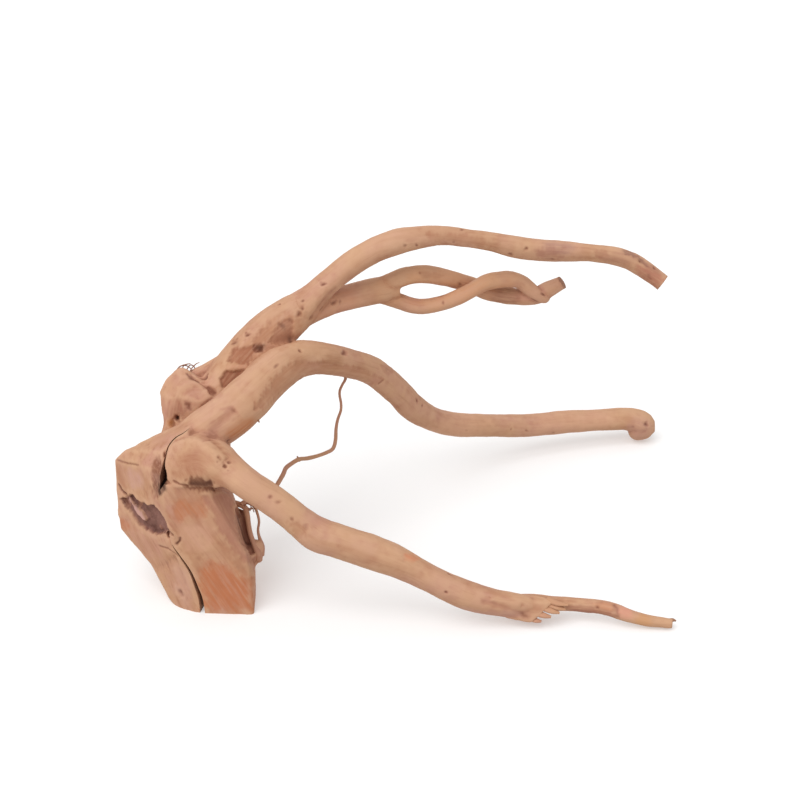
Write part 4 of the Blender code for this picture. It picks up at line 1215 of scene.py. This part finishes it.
def wood_colour(tree, place, mottle, streaks):
    """Pale tan and pink, with fibre streaks, stains and painted shade laid like them, torn fibre, painted
    shade in hollows, creases, pits and black splits, and painted highlight on ridges.
    """
    patches = noise(tree, place, 22.0, 3.0, 0.6)
    bands = fibre_noise(tree, 0.012, 0.11, 3.0, 0.5, 0.3)
    base = mixed(tree, mapped(tree, patches, 0.35, 0.65), colour(194, 148, 115), colour(192, 142, 120))
    for factor, shade in (
        (mapped(tree, bands, 0.40, 0.70, 0.0, 0.7), (174, 122, 92)),
        (mapped(tree, streaks, 0.50, 0.78, 0.0, 0.5), (156, 104, 78)),
        (mapped(tree, mottle, 0.52, 0.78, 0.0, 0.4), (206, 164, 130)),
        # Painted highlight on the ridges, painted shade in the broad and the fine hollows
        (factored(tree, "ridge_highlight", 0.4), (212, 172, 138)),
        (factored(tree, "hollow", 0.5), (142, 92, 70)),
        (factored(tree, "fine_hollow_shade", 0.45), (134, 84, 62)),
    ):
        base = mixed(tree, factor, base, colour(*shade))
    # Stains, and painted shade laid like them, broken up by the streaks
    uneven = mapped(tree, streaks, 0.34, 0.6, 0.5, 1.0)
    strength = math_node(tree, "MULTIPLY", factored(tree, "stained_and_shaded", 1.0), uneven)
    base = mixed(tree, strength, base, attribute(tree, "stain_and_shade").outputs["Vector"])
    torn = mixed(tree, mapped(tree, mottle, 0.35, 0.7), colour(138, 98, 88), colour(102, 68, 60))
    base = mixed(tree, mapped(tree, factored(tree, "torn", 1.0), 0.42, 0.8, 0.0, 0.9), base, torn)
    # Painted shade in creases and pits, with the thin roots' darker tone, and near black painted shade inside
    # the splits
    base = mixed(tree, factored(tree, "dark", 0.85), base, colour(84, 48, 34))
    return mixed(tree, factored(tree, "split", 1.0), base, colour(38, 22, 17))


def ring_colour(tree, mottle):
    """Growth rings round the limb's middle, for the sawn ends."""
    across = vector_node(tree, "MULTIPLY", attribute(tree, "grain").outputs["Vector"], (0.0, 1.0, 1.0))
    radius = vector_node(tree, "LENGTH", across.outputs[0]).outputs["Value"]
    spread = math_node(tree, "MULTIPLY", radius, 4.2)
    rings = math_node(tree, "SINE", math_node(tree, "MULTIPLY_ADD", mottle, 5.0, spread))
    return mixed(tree, mapped(tree, rings, -0.7, 0.9), colour(156, 106, 80), colour(134, 86, 64))


def wood_material():
    """The peeled wood of every piece: its colour, its dull shine and its finest fibre as bump."""
    material = bpy.data.materials.new("peeled_wood")
    material.use_nodes = True
    tree = material.node_tree
    shader = tree.nodes["Principled BSDF"].inputs
    place = put(tree, "ShaderNodeTexCoord").outputs["Object"]
    mottle = noise(tree, place, 95.0, 4.0, 0.62)
    streaks = fibre_noise(tree, 0.028, 0.42, 5.0, 0.62)
    base = wood_colour(tree, place, mottle, streaks)
    base = mixed(tree, factored(tree, "sawn", 0.85), base, ring_colour(tree, mottle))
    fine = fibre_noise(tree, 0.09, 1.6, 4.0, 0.65)
    height = math_node(tree, "MULTIPLY_ADD", mottle, 0.35, fine)
    bump = put(tree, "ShaderNodeBump", {"Strength": 0.35, "Distance": 0.6 * MM, "Height": height})
    tree.links.new(base, shader["Base Color"])
    tree.links.new(mapped(tree, streaks, 0.3, 0.7, 0.62, 0.78), shader["Roughness"])
    tree.links.new(bump.outputs[0], shader["Normal"])
    shader["Specular IOR Level"].default_value = 0.25
    return material


def grown_wood(routes, tree):
    """The limbs and the stump's lumps, grown together under one skin."""
    limbs = grow("limbs", routes, tree)
    root = joined("root_wood", [limbs] + [lump(name, corners) for name, corners in LUMPS.items()])
    remesh = root.modifiers.new("grow_together", "REMESH")
    remesh.mode = "VOXEL"
    remesh.voxel_size = VOXEL
    return settled(root)


def soften(mesh, grain):
    """Round the wood off, most of all in its hollows. Gives its points, and which are the block's."""
    points, ends = places(mesh), edge_ends(mesh)
    _, gap = grain.at(points)
    block = smooth_step(*BLOCK_EDGE, gap)
    block = neighbour_mean(block[:, None], ends, len(points))[:, 0]
    points = relax(points, ends, np.full(len(points), 0.5), SOFTENING_PASSES)
    set_places(mesh, points)
    bend = hollowness(points, ends, normals(mesh), CREASE_REACH)
    crease = smooth_step(*CREASE_BEND, bend) * (1 - BLOCK_CRISP * block)
    soft = np.maximum(crease, BLOCK_SOFT * block)
    for middle, reach in HUBS:
        soft = np.maximum(soft, 1 - smooth_step(*HUB_EDGE, from_middle(points, middle, reach)))
    for _ in range(SPREAD_PASSES):
        soft = np.maximum(soft, neighbour_mean(soft[:, None], ends, len(points))[:, 0])
    points = relax(points, ends, soft * 0.5, CREASE_PASSES)
    set_places(mesh, points)
    return points, block


def carve(root, points, grain, block, wood):
    """Press the creases, pits and patches in and raise the fibre. Gives what is dark, the painted shade of
    creases and pits, and what is torn.
    """
    mesh = root.data
    mesh.calc_loop_triangles()
    surface = BVHTree.FromPolygons(points.tolist(), [tuple(t.vertices) for t in mesh.loop_triangles])
    depth, dark, torn = carved(points, normals(mesh), surface)
    points = points - normals(mesh) * depth[:, None]
    set_places(mesh, points)
    fibre, _ = grain.at(points)
    paint(mesh, {"grain": fibre, "block_grain": block_fibre(points), "block": block, "torn": torn})
    relief = root.modifiers.new("wood_relief", "NODES")
    relief.node_group = relief_tree(wood)
    settled(root)
    pitted = np.empty(len(root.data.vertices))
    root.data.attributes["pitted"].data.foreach_get("value", pitted)
    # The relief's small pits darkened too, partly their own colour and partly painted shade
    return np.maximum(dark, PITTED_DARK * pitted), torn


def cut_open(root):
    """Thin the faces out, then make the splits and the saw cuts."""
    thin = root.modifiers.new("thin_out", "DECIMATE")
    thin.ratio = WOOD_TRIANGLES / (2 * len(root.data.polygons))
    settled(root)
    cut(root, split_cutter("neck_split", NECK_SPLIT))
    cut(root, split_cutter("side_split", SIDE_SPLIT))
    cut(root, saw("floor_saw", *FLOOR_SAW, FLOOR_REACH))
    for place in END_SAWS:
        cut(root, saw("end_saw", *place, SAW_REACH))


def sawn_ends(points):
    """1 for each point on a sawn end, and 0 for the rest."""
    sawn = np.zeros(len(points))
    for place, away in END_SAWS:
        away = np.array(away) / np.linalg.norm(away)
        on_cut = np.abs((points - np.array(place)) @ away) < SAWN_NEAR
        sawn[on_cut & (np.linalg.norm(points - np.array(place), axis=1) < SAWN_REACH)] = 1
    return sawn


def dress(mesh, whole, grain, block, dark, torn, wood):
    """Store what the wood's colours need at each point, from the uncut wood's, and dress the mesh."""
    points, ends = places(mesh), edge_ends(mesh)
    way = normals(mesh)
    found = [whole.find(point) for point in points]
    row = np.array([item[1] for item in found])
    inside = np.array([item[2] for item in found])
    sawn = sawn_ends(points)
    fibre, _ = grain.at(points)
    broad = hollowness(points, ends, way, BROAD_REACH)
    fine = hollowness(points, ends, way, FINE_REACH)
    hue, strength = stained_and_shaded(points, way)
    old = [layer.name for layer in mesh.attributes if layer.name in RELIEF_LAYERS]
    for name in old:
        mesh.attributes.remove(mesh.attributes[name])
    # Painted shade: the darkness, the splits, the hollows and part of the stains' colours; painted highlight:
    # the ridges
    paint(mesh, {
        "grain": fibre, "block_grain": block_fibre(points), "block": block[row], "torn": torn[row],
        "dark": dark[row], "sawn": sawn, "split": smooth_step(*SPLIT_INSIDE, inside) * (1 - sawn),
        "stain_and_shade": hue, "stained_and_shaded": strength, "hollow": smooth_step(*HOLLOW_SHADE_BEND, broad),
        "ridge_highlight": smooth_step(*RIDGE_HIGHLIGHT_BEND, -broad), "fine_hollow_shade": smooth_step(*FINE_HOLLOW_SHADE_BEND, fine),
    })
    mesh.materials.clear()
    mesh.materials.append(wood)
    mesh.shade_smooth()
    mesh.set_sharp_from_angle(angle=SHARP_ANGLE)


def root_wood(wood, tree):
    """The root itself."""
    routes = limb_routes()
    root = grown_wood(routes, tree)
    grain = Grain(routes)
    points, block = soften(root.data, grain)
    dark, torn = carve(root, points, grain, block, wood)
    whole = point_tree(places(root.data))
    cut_open(root)
    dress(root.data, whole, grain, block, dark, torn, wood)
    return root


def thin_roots(tree):
    """The rootlets, the torn splinters and the hairs, one piece each."""
    pieces = []
    for name, (lines, step, sides, flattening, keel, dark) in THIN_ROOTS.items():
        routes = [smooth_route(line, step) for line in lines]
        piece = grow(name, routes, tree, Sides=sides, Flattening=flattening, Keel=keel, Waver=THIN_WAVER)
        piece.data.shade_smooth()
        if dark:
            paint(piece.data, {"dark": np.full(len(piece.data.vertices), dark)})
        pieces.append(piece)
    return pieces


def main():
    """Make the pieces, and say what each rides on, is made of and replaces."""
    wood = wood_material()
    tree = limb_tree(wood)
    root = root_wood(wood, tree)
    for piece in (root, *thin_roots(tree)):
        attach(piece, "root")
    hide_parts("bogwood_root")


def pale_floor():
    """A wide pale floor that glows a little, so that it shows nearly white."""
    mesh = bpy.data.meshes.new("floor")
    far = FLOOR_HALF
    mesh.from_pydata([(-far, -far, 0), (far, -far, 0), (far, far, 0), (-far, far, 0)], [], [(0, 1, 2, 3)])
    floor = new_piece("floor", mesh)
    pale = bpy.data.materials.new("pale_floor")
    pale.use_nodes = True
    shader = pale.node_tree.nodes["Principled BSDF"].inputs
    shader["Base Color"].default_value = FLOOR_COLOUR
    shader["Emission Color"].default_value = (1, 1, 1, 1)
    shader["Emission Strength"].default_value = FLOOR_GLOW
    shader["Roughness"].default_value = 0.9
    shader["Specular IOR Level"].default_value = 0.0
    mesh.materials.append(pale)
    floor.visible_diffuse = False


def soft_sky():
    """A pale sky, a little warmer below."""
    world = bpy.data.worlds.new("studio")
    world.use_nodes = True
    tree = world.node_tree
    direction = put(tree, "ShaderNodeTexCoord").outputs["Generated"]
    height = put(tree, "ShaderNodeSeparateXYZ", {0: direction}).outputs[2]
    sky = mixed(tree, mapped(tree, height, *SKY_EDGE), SKY_BELOW, SKY_ABOVE)
    tree.links.new(sky, tree.nodes["Background"].inputs["Color"])
    bpy.context.scene.world = world


def soft_sun():
    """A wide, weak sun for the soft shadow."""
    sun = bpy.data.lights.new("soft_key", "SUN")
    sun.energy = SUN_STRENGTH
    sun.angle = SUN_WIDTH
    key = new_piece("soft_key", sun)
    key.rotation_euler = SUN_WAY.to_track_quat("-Z", "Y").to_euler()


def photo_camera():
    """The photograph's camera."""
    lens = bpy.data.cameras.new("camera")
    lens.lens = CAMERA_LENS
    lens.sensor_width = CAMERA_SENSOR
    camera = new_piece("camera", lens)
    away = Vector((0, -math.cos(CAMERA_ELEVATION), math.sin(CAMERA_ELEVATION)))
    camera.location = CAMERA_TARGET + away * CAMERA_DISTANCE
    camera.rotation_euler = (math.pi / 2 - CAMERA_ELEVATION, 0, 0)
    bpy.context.scene.camera = camera
    bpy.context.scene.view_settings.view_transform = "Standard"


pale_floor()
soft_sky()
soft_sun()
photo_camera()
main()
